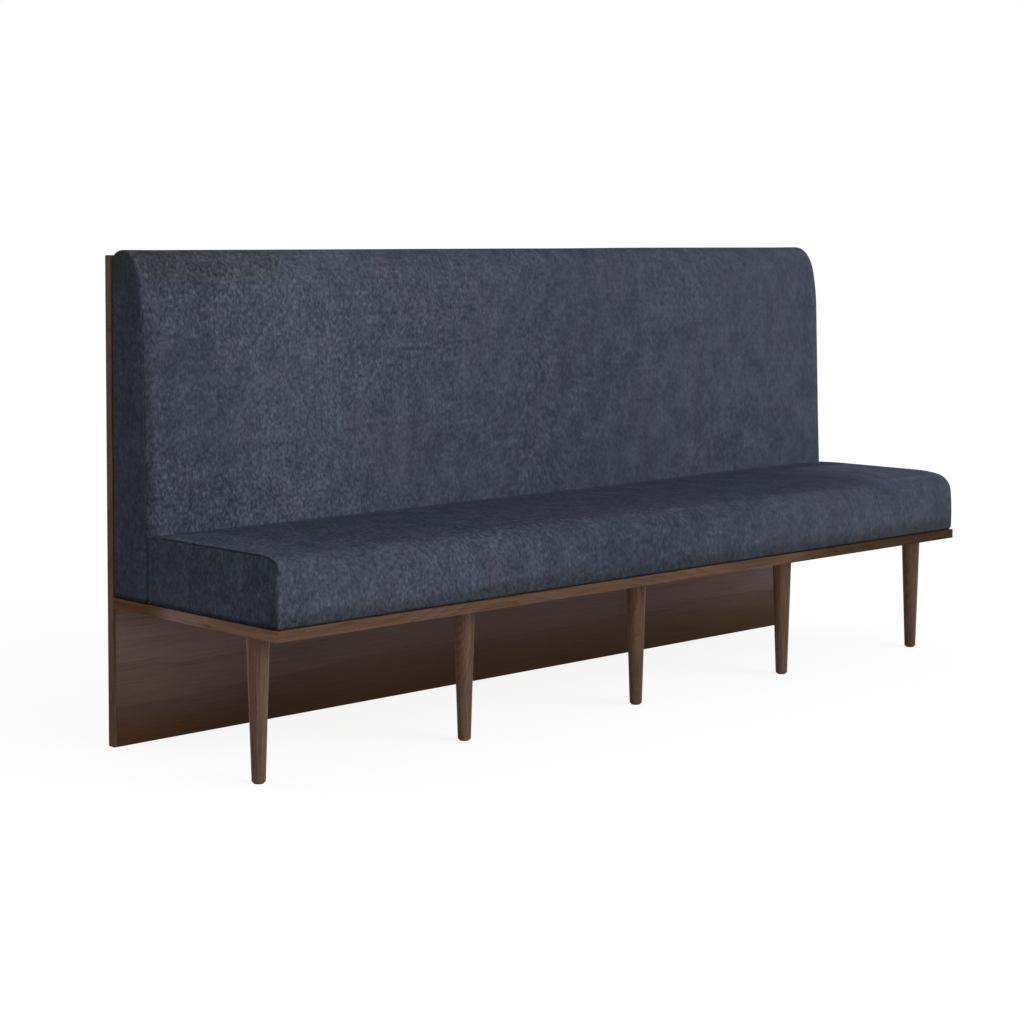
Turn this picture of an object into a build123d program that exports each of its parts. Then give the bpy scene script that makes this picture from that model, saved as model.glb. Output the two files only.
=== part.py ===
from build123d import *
import math
import os

# Banquette seat of one long back panel, a cantilevered deck on five turned legs,
# and a sprung seat and back under woven fabric. All sizes are in millimetres.
# X runs along the seat, -Y is the front where people sit, and Z is up.
# The origin is on the floor, under the middle of the whole piece.

# Overall sizes
LENGTH = 2268.0
DEPTH = 601.0
PANEL_HEIGHT = 1067.0
BACK_RISE = 13.0
SEAT_THICKNESS = 149.0
DECK_UNDERSIDE = 304.0

# Panel, deck and their solid edging
PANEL_THICKNESS = 22.0
DECK_THICKNESS = 23.0
EDGING = 6.0

# Clearances, and the overrun of a cut past the face that it opens
LAYER_GAP = 0.3
BORE_FIT = 0.1
OVERRUN = 5.0

# Round pieces that repeat are faceted with these many sides, which keeps the model light
LEG_SIDES = 32
BOSS_SIDES = 16
FASTENER_SIDES = 6

# Cleat that carries the rear edge of the deck, and its screws
CLEAT_THICKNESS = 22.0
CLEAT_HEIGHT = 54.0
CLEAT_END_INSET = 200.0
CLEAT_SCREW_COUNT = 6
CLEAT_SCREW_INSET = 60.0
CLEAT_SCREW_SHANK = 2.5
CLEAT_SCREW_HEAD = 5.0
CLEAT_SCREW_HEAD_HEIGHT = 3.0
CLEAT_SCREW_BITE = 15.0
CLEAT_COUNTERBORE = 24.0

# Turned legs, their glides and the plates that they screw into
LEG_PLACE_SHARES = (0.0, 0.2565, 0.507, 0.7525, 1.0)
LEG_END_INSET = 36.0
LEG_SETBACK = 111.0
LEG_TOP_RADIUS = 24.0
LEG_FOOT_RADIUS = 14.6
LEG_FOOT_EASE = 2.0
GLIDE_RADIUS = 11.0
GLIDE_THICKNESS = 3.0
GLIDE_NAIL_RADIUS = 1.6
GLIDE_NAIL_LENGTH = 18.0
PLATE_SIZE = 50.0
PLATE_THICKNESS = 3.0
PLATE_CHAMFER = 5.0
PLATE_SCREW_INSET = 8.0
PLATE_SCREW_SHANK = 2.0
PLATE_SCREW_HEAD = 4.0
PLATE_SCREW_HEAD_HEIGHT = 2.0
PLATE_SCREW_LENGTH = 18.0
BOSS_RADIUS = 7.5
BOSS_HEIGHT = 9.0
BOSS_RECESS_GAP = 0.5
HANGER_RADIUS = 4.0
HANGER_IN_LEG = 32.0

# Soft layers: fabric, polyester wrap and the foam inside them
FABRIC = 1.5
WRAP = 8.0
END_DOME = 3.0
DOME_SHARES = ((0.0, 1.0), (0.7, 0.97), (1.0, 0.9))
STAPLE_FLANGE = 30.0

# Seat cushion: outline of its cross section, from the crease at the back to the front roll
SEAT_CROWN = 1.5
SEAT_END_DROP = 1.5
SEAT_END_DRAW = 1.5
SEAT_REAR_CORNER = 12.0
SEAT_REAR_DIP = 2.0
SEAT_DIP_DEPTH = 95.0
SEAT_ROLL_DEPTH = 137.0
SEAT_ROLL_DROP = 59.5
SEAT_END_ROLL_DEPTH = 95.0
SEAT_END_ROLL_DROP = 45.0
ROLL_SHARES = ((1.0, 0.0), (0.40, 0.117), (0.095, 0.517))
SEAT_BULGE = 2.5
SEAT_TUCK = 9.0
SEAT_END_BLEND = 150.0
SEAT_STEP_SHARES = ((0.0, 1.0), (0.09, 0.7), (0.33, 0.35), (1.0, 0.0))

# Seat frame, webbing and fixings
SEAT_RAIL_HEIGHT = 75.0
SEAT_RAIL_THICKNESS = 20.0
SEAT_EDGE_FOAM = 15.0
SEAT_CROSS_RAIL_COUNT = 3
SEAT_CROSS_RAIL_DROP = 25.0
CORNER_BLOCK = 45.0
CORNER_BLOCK_HEIGHT = 40.0
WEBBING_THICKNESS = 2.0
SEAT_WEBBING_WIDTH = 60.0
SEAT_WEBBING_COUNT = 17
LINING_THICKNESS = 1.0
LINING_MARGIN = 2.0
SEAT_SCREW_COUNT = 4
SEAT_SCREW_INSET = 160.0
SEAT_SCREW_SHANK = 2.5
SEAT_SCREW_HEAD = 5.5
SEAT_SCREW_HEAD_HEIGHT = 3.0
SEAT_SCREW_BITE = 30.0

# Back cushion: outline of its cross section, from the deck up to the rounded top
BACK_THICKNESS = 128.0
BACK_CROWN = 1.5
BACK_SHOULDER = 180.0
BACK_MID_SHARE = 0.387
BACK_FACE_SHARES = (1.0, 1.0, 0.98)
BACK_END_FACE_SHARES = (1.0, 1.0, 0.955)
SHOULDER_SHARES = ((0.93, 0.0), (0.8125, 0.639), (0.586, 0.922), (0.297, 1.0), (0.0, 0.911))
END_SHOULDER_SHARES = ((0.90, 0.05), (0.80, 0.644), (0.60, 0.911), (0.297, 1.0), (0.0, 0.92))
BACK_END_BLEND = 36.0
BACK_STEP_SHARES = ((0.0, 1.0), (0.22, 0.45), (0.55, 0.15), (1.0, 0.0))

# Back frame, webbing and fixings
BACK_FRAME_DEPTH = 45.0
BACK_RAIL_THICKNESS = 22.0
BACK_EDGE_FOAM = 12.0
BACK_TOP_FOAM = 30.0
BACK_UPRIGHT_COUNT = 5
BACK_WEBBING_WIDTH = 60.0
BACK_WEBBING_COUNT = 13
CLIP_RAIL_BELOW_TOP = 70.0
CLIP_RAIL_HEIGHT = 70.0
CLIP_RAIL_THICKNESS = 20.0
BACK_SCREW_REACH = 34.0

# Interlocking hanger clips between the panel and the back frame
CLIP_METAL = 1.6
CLIP_LENGTH = 50.0
CLIP_FLANGE = 22.0
CLIP_LIP = 12.0
CLIP_SCREW_INSET = 12.0
CLIP_SCREW_SHANK = 1.6
CLIP_SCREW_HEAD = 3.5
CLIP_SCREW_HEAD_HEIGHT = 1.7
CLIP_SCREW_LENGTH = 14.0

# Places that follow from the sizes. A reach is a distance forward of the panel's front face.
BACK_HEIGHT = PANEL_HEIGHT + BACK_RISE
PANEL_FRONT_Y = DEPTH / 2 - PANEL_THICKNESS
DECK_REACH = DEPTH - PANEL_THICKNESS
DECK_TOP = DECK_UNDERSIDE + DECK_THICKNESS
SEAT_HEIGHT = DECK_TOP + SEAT_THICKNESS
END_X = LENGTH / 2
SEAM_X = END_X - END_DOME
LEG_REACH = DECK_REACH - LEG_SETBACK
LEG_TOP = DECK_UNDERSIDE - PLATE_THICKNESS
SKIN = FABRIC + LAYER_GAP + WRAP + LAYER_GAP

SEAT_REAR = BACK_THICKNESS + LAYER_GAP
SEAT_FRAME_X = SEAM_X - SKIN - SEAT_EDGE_FOAM
SEAT_FRAME_REAR = SEAT_REAR + SKIN
SEAT_FRAME_FRONT = DECK_REACH - SKIN - SEAT_EDGE_FOAM
FRAME_BASE = DECK_TOP + FABRIC
SEAT_FRAME_TOP = FRAME_BASE + SEAT_RAIL_HEIGHT

BACK_REAR = LAYER_GAP
BACK_FRAME_X = SEAM_X - SKIN - BACK_EDGE_FOAM
BACK_FRAME_REAR = BACK_REAR + FABRIC
BACK_FRAME_FRONT = BACK_FRAME_REAR + BACK_FRAME_DEPTH
BACK_FRAME_TOP = BACK_HEIGHT - SKIN - BACK_TOP_FOAM
CLIP_RAIL_TOP = BACK_FRAME_TOP - CLIP_RAIL_BELOW_TOP
CLIP_SPACE = 2 * (CLIP_METAL + LAYER_GAP)


def block(x, reach, z):
    """Box between pairs of limits along X, forward of the panel, and in height."""
    size = (x[1] - x[0], reach[1] - reach[0], z[1] - z[0])
    centre = (sum(x) / 2, PANEL_FRONT_Y - sum(reach) / 2, sum(z) / 2)
    return Pos(*centre) * Box(*size)


def side_plane(x):
    """Plane of a cross section at x: its first axis is the reach, its second the height."""
    return Plane(origin=(x, PANEL_FRONT_Y, 0), x_dir=(0, -1, 0), z_dir=(-1, 0, 0))


def spread(count, first, last):
    """Evenly spaced places from the first to the last."""
    return [first + (last - first) * i / (count - 1) for i in range(count)]


def mix(a, b, share):
    """Value that lies the given share of the way from a to b."""
    return a + (b - a) * share


def prism(radius, sides, length):
    """Faceted round bar from Z = 0 up."""
    return extrude(RegularPolygon(radius, sides), length)


def solids_of(pieces):
    """One compound of separate solids, for pieces that share a node."""
    return Compound(children=[solid for piece in pieces for solid in piece.solids()])


def screw(shank, length, head, head_height):
    """Plain screw along +Z with its head below Z = 0, thread left out."""
    return prism(shank, FASTENER_SIDES, length) + prism(head, FASTENER_SIDES, -head_height)


def pilot(shank, length):
    """Hole that a screw's shank runs in, open at both ends of the given length."""
    return Pos(0, 0, -OVERRUN) * prism(shank + BORE_FIT, FASTENER_SIDES, length + OVERRUN + BORE_FIT)


def upward(x, reach, z):
    """Place for a fastener that points up."""
    return Pos(x, PANEL_FRONT_Y - reach, z)


def rearward(x, reach, z):
    """Place for a fastener that points back towards the panel."""
    return Pos(x, PANEL_FRONT_Y - reach, z) * Rot(-90, 0, 0)


def forward(x, reach, z):
    """Place for a fastener that points forward, away from the panel."""
    return Pos(x, PANEL_FRONT_Y - reach, z) * Rot(90, 0, 0)


# Panel and deck

def panel_face(points):
    """Board of the panel's thickness, cut to an outline in X and Z."""
    outline = make_face(Polyline(*points, close=True))
    plane = Plane(origin=(0, PANEL_FRONT_Y, 0), x_dir=(1, 0, 0), z_dir=(0, -1, 0))
    return extrude(plane * outline, -PANEL_THICKNESS)


def panel_edge_side(side):
    """Solid edging on one end of the panel, mitred at its top."""
    inner = side * (END_X - EDGING)
    outer = side * END_X
    low = PANEL_HEIGHT - EDGING
    return panel_face([(inner, 0), (outer, 0), (outer, PANEL_HEIGHT), (inner, low)])


def panel_edge_top():
    """Solid edging along the top of the panel, mitred at both ends."""
    inner = END_X - EDGING
    low = PANEL_HEIGHT - EDGING
    return panel_face([(-inner, low), (inner, low), (END_X, PANEL_HEIGHT), (-END_X, PANEL_HEIGHT)])


def deck_face(points):
    """Board of the deck's thickness, cut to an outline in X and reach."""
    outline = make_face(Polyline(*[(x, PANEL_FRONT_Y - reach) for x, reach in points], close=True))
    return extrude(Pos(0, 0, DECK_UNDERSIDE) * outline, DECK_THICKNESS)


def deck_edge_front():
    """Solid edging along the front of the deck, mitred at both ends."""
    inner = END_X - EDGING
    low = DECK_REACH - EDGING
    return deck_face([(-inner, low), (inner, low), (END_X, DECK_REACH), (-END_X, DECK_REACH)])


def deck_edge_side(side):
    """Solid edging on one end of the deck, mitred at its front."""
    inner = side * (END_X - EDGING)
    outer = side * END_X
    low = DECK_REACH - EDGING
    return deck_face([(inner, 0), (outer, 0), (outer, DECK_REACH), (inner, low)])


# Places of the fixings

def leg_places():
    """X of each leg's axis."""
    first = -END_X + LEG_END_INSET
    return [mix(first, -first, share) for share in LEG_PLACE_SHARES]


def cleat_screw_places():
    """X of each screw through the cleat."""
    end = END_X - CLEAT_END_INSET - CLEAT_SCREW_INSET
    return spread(CLEAT_SCREW_COUNT, -end, end)


def seat_screw_places():
    """X and reach of each screw from the deck up into the seat frame."""
    end = SEAT_FRAME_X - SEAT_SCREW_INSET
    half_rail = SEAT_RAIL_THICKNESS / 2
    lines = (SEAT_FRAME_REAR + half_rail, SEAT_FRAME_FRONT - half_rail)
    return [(x, reach) for reach in lines for x in spread(SEAT_SCREW_COUNT, -end, end)]


def back_screw_places():
    """X and reach of each screw from the deck up into the back frame."""
    end = BACK_FRAME_X - SEAT_SCREW_INSET
    return [(x, BACK_SCREW_REACH) for x in spread(SEAT_SCREW_COUNT, -end, end)]


def plate_screw_offsets():
    """X and Y of the four screws of a leg plate, from the leg's axis."""
    off = PLATE_SIZE / 2 - PLATE_SCREW_INSET
    return [(sx * off, sy * off) for sx in (-1, 1) for sy in (-1, 1)]


def upright_places():
    """X of the middle of each upright in the back frame."""
    end = BACK_FRAME_X - BACK_RAIL_THICKNESS / 2
    return spread(BACK_UPRIGHT_COUNT, -end, end)


def clip_places():
    """X of the middle of each pair of hanger clips, one in each bay of the frame."""
    ups = upright_places()
    return [(a + b) / 2 for a, b in zip(ups, ups[1:])]


# Screws, and the holes that they need

def deck_screw_length(bite):
    """Shank of a screw that starts under the deck and bites into the frame on it."""
    return DECK_THICKNESS + FABRIC + bite


def deck_screws(places):
    """Screws from under the deck into the frame above it."""
    one = screw(
        SEAT_SCREW_SHANK, deck_screw_length(SEAT_SCREW_BITE), SEAT_SCREW_HEAD, SEAT_SCREW_HEAD_HEIGHT
    )
    return [upward(x, reach, DECK_UNDERSIDE) * one for x, reach in places]


def deck_screw_holes(places):
    """Holes for the screws from under the deck."""
    one = pilot(SEAT_SCREW_SHANK, deck_screw_length(SEAT_SCREW_BITE))
    return [upward(x, reach, DECK_UNDERSIDE) * one for x, reach in places]


def cleat_panel_screws():
    """Screws through the cleat into the panel, near the cleat's lower edge."""
    one = screw(
        CLEAT_SCREW_SHANK, CLEAT_THICKNESS + CLEAT_SCREW_BITE, CLEAT_SCREW_HEAD, CLEAT_SCREW_HEAD_HEIGHT
    )
    z = DECK_UNDERSIDE - CLEAT_HEIGHT / 2
    return [rearward(x, CLEAT_THICKNESS, z) * one for x in cleat_screw_places()]


def cleat_panel_holes():
    """Holes for the screws from the cleat into the panel."""
    one = pilot(CLEAT_SCREW_SHANK, CLEAT_THICKNESS + CLEAT_SCREW_BITE)
    z = DECK_UNDERSIDE - CLEAT_HEIGHT / 2
    return [rearward(x, CLEAT_THICKNESS, z) * one for x in cleat_screw_places()]


def cleat_deck_places():
    """X of each upright screw in the cleat, one screw inset beside those into the panel."""
    return [x + CLEAT_SCREW_INSET / 2 for x in cleat_screw_places()[:-1]]


def cleat_deck_screws():
    """Screws up through the cleat into the deck, their heads deep in counterbores."""
    length = CLEAT_HEIGHT - CLEAT_COUNTERBORE + CLEAT_SCREW_BITE
    one = screw(CLEAT_SCREW_SHANK, length, CLEAT_SCREW_HEAD, CLEAT_SCREW_HEAD_HEIGHT)
    z = DECK_UNDERSIDE - CLEAT_HEIGHT + CLEAT_COUNTERBORE
    return [upward(x, CLEAT_THICKNESS / 2, z) * one for x in cleat_deck_places()]


def cleat_deck_holes():
    """Holes for the screws from the cleat into the deck."""
    length = CLEAT_HEIGHT - CLEAT_COUNTERBORE + CLEAT_SCREW_BITE
    z = DECK_UNDERSIDE - CLEAT_HEIGHT + CLEAT_COUNTERBORE
    one = pilot(CLEAT_SCREW_SHANK, length)
    return [upward(x, CLEAT_THICKNESS / 2, z) * one for x in cleat_deck_places()]


def cleat_counterbores():
    """Deep round mouths in the cleat's lower edge for the heads of the upright screws."""
    one = prism(CLEAT_SCREW_HEAD + BORE_FIT, FASTENER_SIDES, CLEAT_COUNTERBORE + OVERRUN)
    z = DECK_UNDERSIDE - CLEAT_HEIGHT - OVERRUN
    return [upward(x, CLEAT_THICKNESS / 2, z) * one for x in cleat_deck_places()]


def plate_screws():
    """Countersunk screws that hold the leg plates under the deck, heads flush below."""
    cone = extrude(RegularPolygon(PLATE_SCREW_HEAD, FASTENER_SIDES), PLATE_SCREW_HEAD_HEIGHT, taper=45)
    one = cone + prism(PLATE_SCREW_SHANK, FASTENER_SIDES, PLATE_SCREW_LENGTH)
    return [
        Pos(dx, dy, 0) * upward(x, LEG_REACH, LEG_TOP) * one
        for x in leg_places()
        for dx, dy in plate_screw_offsets()
    ]


def plate_screw_holes():
    """Countersunk holes through one leg plate, from its lower face at Z = 0."""
    cone = extrude(
        RegularPolygon(PLATE_SCREW_HEAD + BORE_FIT, FASTENER_SIDES), PLATE_SCREW_HEAD_HEIGHT, taper=45
    )
    one = cone + pilot(PLATE_SCREW_SHANK, PLATE_SCREW_LENGTH)
    return [Pos(dx, dy, 0) * one for dx, dy in plate_screw_offsets()]


# Deck, panel and cleat with their holes

def back_panel():
    """Veneered panel behind its solid edging, drilled for the cleat and the clips."""
    inner = END_X - EDGING
    low = PANEL_HEIGHT - EDGING
    board = panel_face([(-inner, 0), (inner, 0), (inner, low), (-inner, low)])
    return board - cleat_panel_holes() - panel_clip_holes()


def seat_deck():
    """Veneered deck board behind its solid edging, drilled for legs, cleat and frames."""
    inner = END_X - EDGING
    low = DECK_REACH - EDGING
    board = deck_face([(-inner, 0), (inner, 0), (inner, low), (-inner, low)])
    depth = BOSS_HEIGHT + BOSS_RECESS_GAP + OVERRUN
    recess = Pos(0, 0, -OVERRUN) * prism(BOSS_RADIUS + BOSS_RECESS_GAP, BOSS_SIDES, depth)
    shanks = [Pos(dx, dy, 0) * pilot(PLATE_SCREW_SHANK, PLATE_SCREW_LENGTH - PLATE_THICKNESS)
              for dx, dy in plate_screw_offsets()]
    for x in leg_places():
        place = upward(x, LEG_REACH, DECK_UNDERSIDE)
        board -= [place * recess] + [place * hole for hole in shanks]
    return board - deck_screw_holes(seat_screw_places() + back_screw_places()) - cleat_deck_holes()


def deck_cleat():
    """Hardwood batten on the panel under the deck's rear edge."""
    end = END_X - CLEAT_END_INSET
    batten = block((-end, end), (0, CLEAT_THICKNESS), (DECK_UNDERSIDE - CLEAT_HEIGHT, DECK_UNDERSIDE))
    return batten - cleat_panel_holes() - cleat_deck_holes() - cleat_counterbores()


# Legs

def leg():
    """Turned leg with a straight taper, bored for its hanger bolt and its glide's nail."""
    length = LEG_TOP - GLIDE_THICKNESS
    slope = (LEG_TOP_RADIUS - LEG_FOOT_RADIUS) * math.cos(math.pi / LEG_SIDES) / length
    turned = extrude(RegularPolygon(LEG_TOP_RADIUS, LEG_SIDES), length, taper=math.degrees(math.atan(slope)))
    turned = chamfer(turned.faces().sort_by(Axis.Z)[-1].edges(), LEG_FOOT_EASE)
    bolt = prism(HANGER_RADIUS + BORE_FIT, FASTENER_SIDES, HANGER_IN_LEG + BORE_FIT)
    nail = prism(GLIDE_NAIL_RADIUS + BORE_FIT, FASTENER_SIDES, -GLIDE_NAIL_LENGTH - BORE_FIT)
    return Pos(0, 0, LEG_TOP) * Rot(180, 0, 0) * (turned - bolt - Pos(0, 0, length) * nail)


def glide():
    """Nylon disc on a nail, driven into the foot of a leg."""
    disc = prism(GLIDE_RADIUS, LEG_SIDES, GLIDE_THICKNESS)
    return disc + prism(GLIDE_NAIL_RADIUS, FASTENER_SIDES, GLIDE_THICKNESS + GLIDE_NAIL_LENGTH)


def leg_plate():
    """Steel plate with a bored boss on top, for one leg, its lower face at Z = 0."""
    square = Rectangle(PLATE_SIZE, PLATE_SIZE)
    sheet = extrude(chamfer(square.vertices(), PLATE_CHAMFER), PLATE_THICKNESS)
    boss = prism(BOSS_RADIUS, BOSS_SIDES, PLATE_THICKNESS + BOSS_HEIGHT)
    bore = pilot(HANGER_RADIUS, PLATE_THICKNESS + BOSS_HEIGHT + OVERRUN)
    return sheet + boss - bore - plate_screw_holes()


def hanger_bolt():
    """Double-ended bolt, from deep in the leg to the top of the plate's boss."""
    length = HANGER_IN_LEG + PLATE_THICKNESS + BOSS_HEIGHT
    return Pos(0, 0, LEG_TOP - HANGER_IN_LEG) * prism(HANGER_RADIUS, FASTENER_SIDES, length)


# Soft forms

def seat_outline(edge, crown):
    """Cross section of the seat: edge is 1 at the end seam and 0 inboard, crown 1 mid-length."""
    top = SEAT_HEIGHT - SEAT_CROWN * (1 - crown) - SEAT_END_DROP * edge
    front = DECK_REACH - SEAT_END_DRAW * edge
    roll_depth = mix(SEAT_ROLL_DEPTH, SEAT_END_ROLL_DEPTH, edge)
    roll_drop = mix(SEAT_ROLL_DROP, SEAT_END_ROLL_DROP, edge)
    roll = [(front - roll_depth * a, top - roll_drop * b) for a, b in ROLL_SHARES]
    low = DECK_TOP + SEAT_TUCK
    mid = (top - roll_drop + low) / 2
    rear_foot = (SEAT_REAR, DECK_TOP)
    rear = Line(rear_foot, (SEAT_REAR, top - SEAT_REAR_DIP - SEAT_REAR_CORNER))
    corner = TangentArc(rear @ 1, (SEAT_REAR + SEAT_REAR_CORNER, top - SEAT_REAR_DIP), tangent=(0, 1))
    dip_end = (SEAT_REAR + SEAT_DIP_DEPTH, top)
    dip = TangentArc(dip_end, corner @ 1, tangent=(-1, 0))
    flat = Line(dip_end, roll[0])
    upper = TangentArc(roll[0], roll[1], tangent=(1, 0))
    nose = TangentArc(roll[1], roll[2], tangent=upper % 1)
    lower = TangentArc(roll[2], (front - SEAT_BULGE, top - roll_drop), tangent=nose % 1)
    face = ThreePointArc(lower @ 1, (front, mid), (front - SEAT_BULGE / 2, low))
    tuck = TangentArc(face @ 1, (front - SEAT_TUCK, DECK_TOP), tangent=face % 1)
    base = Line(tuck @ 1, rear_foot)
    return make_face([rear, corner, dip, flat, upper, nose, lower, face, tuck, base])


def back_outline(edge, crown):
    """Cross section of the back: edge is 1 at the end seam and 0 inboard, crown 1 mid-length."""
    top = BACK_HEIGHT - BACK_CROWN * (1 - crown)
    shares = [mix(a, b, edge) for a, b in zip(BACK_FACE_SHARES, BACK_END_FACE_SHARES)]
    base_reach, crease_reach, mid_reach = [BACK_THICKNESS * share for share in shares]
    start = top - BACK_SHOULDER
    mid = mix(SEAT_HEIGHT, start, BACK_MID_SHARE)
    shoulder = []
    for full, end in zip(SHOULDER_SHARES, END_SHOULDER_SHARES):
        reach = mix(BACK_REAR, BACK_THICKNESS, mix(full[0], end[0], edge))
        shoulder.append((reach, start + BACK_SHOULDER * mix(full[1], end[1], edge)))
    corners = [(BACK_REAR, DECK_TOP), (base_reach, DECK_TOP), (crease_reach, SEAT_HEIGHT), (mid_reach, mid)]
    lines = [Line(a, b) for a, b in zip(corners, corners[1:] + shoulder[:1])]
    upper = TangentArc(shoulder[0], shoulder[1], tangent=lines[-1] % 1)
    nose = TangentArc(shoulder[3], shoulder[2], tangent=(1, 0))
    join = TangentArc(shoulder[1], shoulder[2], tangent=upper % 1)
    rear_roll = TangentArc(shoulder[3], shoulder[4], tangent=(-1, 0))
    rear = Line(shoulder[4], corners[0])
    return make_face(lines + [upper, join, nose, rear_roll, rear])


def inward(face, inset):
    """The outline moved inwards by the same distance all round."""
    return offset(face, -inset, kind=Kind.INTERSECTION) if inset > 0 else face


def cushion(outline, blend, steps, inset, reach, overrun=0.0):
    """Ruled loft of an outline from end to end, drawn in towards both ends at X = -reach and reach."""
    left = [(-reach + blend * place, edge, 0) for place, edge in steps]
    stations = left + [(0, 0, 1)] + [(-x, edge, crown) for x, edge, crown in reversed(left)]
    if overrun:
        first, last = stations[0], stations[-1]
        stations = [(first[0] - overrun, *first[1:])] + stations + [(last[0] + overrun, *last[1:])]
    sections = [side_plane(x) * inward(outline(edge, crown), inset) for x, edge, crown in stations]
    return loft(sections, ruled=True)


def seat_form(inset, reach, overrun=0.0):
    """The seat's form, moved inwards."""
    return cushion(seat_outline, SEAT_END_BLEND, SEAT_STEP_SHARES, inset, reach, overrun)


def back_form(inset, reach, overrun=0.0):
    """The back's form, moved inwards."""
    return cushion(back_outline, BACK_END_BLEND, BACK_STEP_SHARES, inset, reach, overrun)


def wrap_layer(form):
    """Polyester wrap between the fabric and the foam."""
    outer = FABRIC + LAYER_GAP
    inner = outer + WRAP
    return form(outer, SEAM_X - LAYER_GAP) - form(inner, SEAM_X - LAYER_GAP - WRAP)


def foam_core(form):
    """Foam inside the wrap, before the frame's space is cut from it."""
    return form(SKIN, SEAM_X - 2 * LAYER_GAP - WRAP)


def end_panel(outline, side):
    """Fabric end panel that swells a little from its seam, at one end of a cushion."""
    face = outline(1, 0)
    sections = []
    for rise, size in DOME_SHARES:
        smaller = scale(face, by=size, about=face.center())
        sections.append(side_plane(side * (SEAM_X + END_DOME * rise)) * smaller)
    swell = loft(sections, ruled=True)
    return swell - Pos(-side * FABRIC, 0, 0) * swell


# Seat

def seat_frame_space(gap):
    """Room that the seat's frame and webbing take, with a gap round it and open below."""
    return block(
        (-SEAT_FRAME_X - gap, SEAT_FRAME_X + gap),
        (SEAT_REAR, SEAT_FRAME_FRONT + gap),
        (DECK_UNDERSIDE, SEAT_FRAME_TOP + WEBBING_THICKNESS + gap),
    )


def seat_rail_long(rear):
    """Front or rear rail of the seat's frame, drilled for the screws through the deck."""
    rail = block((-SEAT_FRAME_X, SEAT_FRAME_X), (rear, rear + SEAT_RAIL_THICKNESS), (FRAME_BASE, SEAT_FRAME_TOP))
    return rail - deck_screw_holes(seat_screw_places())


def seat_rail_end(side):
    """End rail of the seat's frame, between the long rails."""
    outer = side * SEAT_FRAME_X
    inner = side * (SEAT_FRAME_X - SEAT_RAIL_THICKNESS)
    reach = (SEAT_FRAME_REAR + SEAT_RAIL_THICKNESS, SEAT_FRAME_FRONT - SEAT_RAIL_THICKNESS)
    return block(sorted((inner, outer)), reach, (FRAME_BASE, SEAT_FRAME_TOP))


def seat_cross_rails():
    """Lower rails across the seat's frame, clear of the webbing when it sags."""
    end = SEAT_FRAME_X - SEAT_RAIL_THICKNESS / 2
    half = SEAT_RAIL_THICKNESS / 2
    reach = (SEAT_FRAME_REAR + SEAT_RAIL_THICKNESS, SEAT_FRAME_FRONT - SEAT_RAIL_THICKNESS)
    height = (FRAME_BASE, SEAT_FRAME_TOP - SEAT_CROSS_RAIL_DROP)
    places = spread(SEAT_CROSS_RAIL_COUNT + 2, -end, end)[1:-1]
    return [block((x - half, x + half), reach, height) for x in places]


def seat_corner_blocks():
    """Glued triangular blocks in the frame's four corners."""
    triangle = make_face(Polyline((0, 0), (CORNER_BLOCK, 0), (0, CORNER_BLOCK), close=True))
    wedge = extrude(triangle, CORNER_BLOCK_HEIGHT)
    x = SEAT_FRAME_X - SEAT_RAIL_THICKNESS
    rear = SEAT_FRAME_REAR + SEAT_RAIL_THICKNESS
    front = SEAT_FRAME_FRONT - SEAT_RAIL_THICKNESS
    corners = [(-x, front, 0), (x, front, 90), (x, rear, 180), (-x, rear, 270)]
    return [upward(cx, reach, FRAME_BASE) * Rot(0, 0, turn) * wedge for cx, reach, turn in corners]


def seat_webbing():
    """Elastic strips from the front rail to the rear rail, on top of both."""
    half = SEAT_WEBBING_WIDTH / 2
    end = SEAT_FRAME_X - SEAT_RAIL_THICKNESS - half
    top = SEAT_FRAME_TOP + WEBBING_THICKNESS
    return [
        block((x - half, x + half), (SEAT_FRAME_REAR, SEAT_FRAME_FRONT), (SEAT_FRAME_TOP, top))
        for x in spread(SEAT_WEBBING_COUNT, -end, end)
    ]


def seat_foam():
    """Foam over the webbing and round the front and ends of the seat's frame."""
    return foam_core(seat_form) - seat_frame_space(LAYER_GAP)


def seat_wrap():
    """Polyester wrap round the seat's foam, open where the frame stands."""
    return wrap_layer(seat_form) - seat_frame_space(LAYER_GAP)


def seat_cover():
    """Fabric over the seat, turned under the frame in a stapled flange."""
    shell = seat_form(0, SEAM_X) - seat_form(FABRIC, SEAM_X, OVERRUN)
    mouth = block(
        (-SEAT_FRAME_X + STAPLE_FLANGE, SEAT_FRAME_X - STAPLE_FLANGE),
        (SEAT_FRAME_REAR + STAPLE_FLANGE, SEAT_FRAME_FRONT - STAPLE_FLANGE),
        (DECK_UNDERSIDE, FRAME_BASE + OVERRUN),
    )
    return shell - mouth - deck_screw_holes(seat_screw_places())


def seat_lining():
    """Black lining stapled under the seat's frame, inside the fabric's flange."""
    margin = STAPLE_FLANGE + LINING_MARGIN
    return block(
        (-SEAT_FRAME_X + margin, SEAT_FRAME_X - margin),
        (SEAT_FRAME_REAR + margin, SEAT_FRAME_FRONT - margin),
        (FRAME_BASE - LINING_THICKNESS, FRAME_BASE),
    )


# Back

def back_frame_space(gap):
    """Room that the back's frame and webbing take, with a gap round it, open below and behind."""
    return block(
        (-BACK_FRAME_X - gap, BACK_FRAME_X + gap),
        (-PANEL_THICKNESS, BACK_FRAME_FRONT + WEBBING_THICKNESS + gap),
        (DECK_UNDERSIDE, BACK_FRAME_TOP + gap),
    )


def back_rail(low):
    """Top or bottom rail of the back's frame."""
    x = (-BACK_FRAME_X, BACK_FRAME_X)
    rail = block(x, (BACK_FRAME_REAR, BACK_FRAME_FRONT), (low, low + BACK_RAIL_THICKNESS))
    return rail - deck_screw_holes(back_screw_places())


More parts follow.
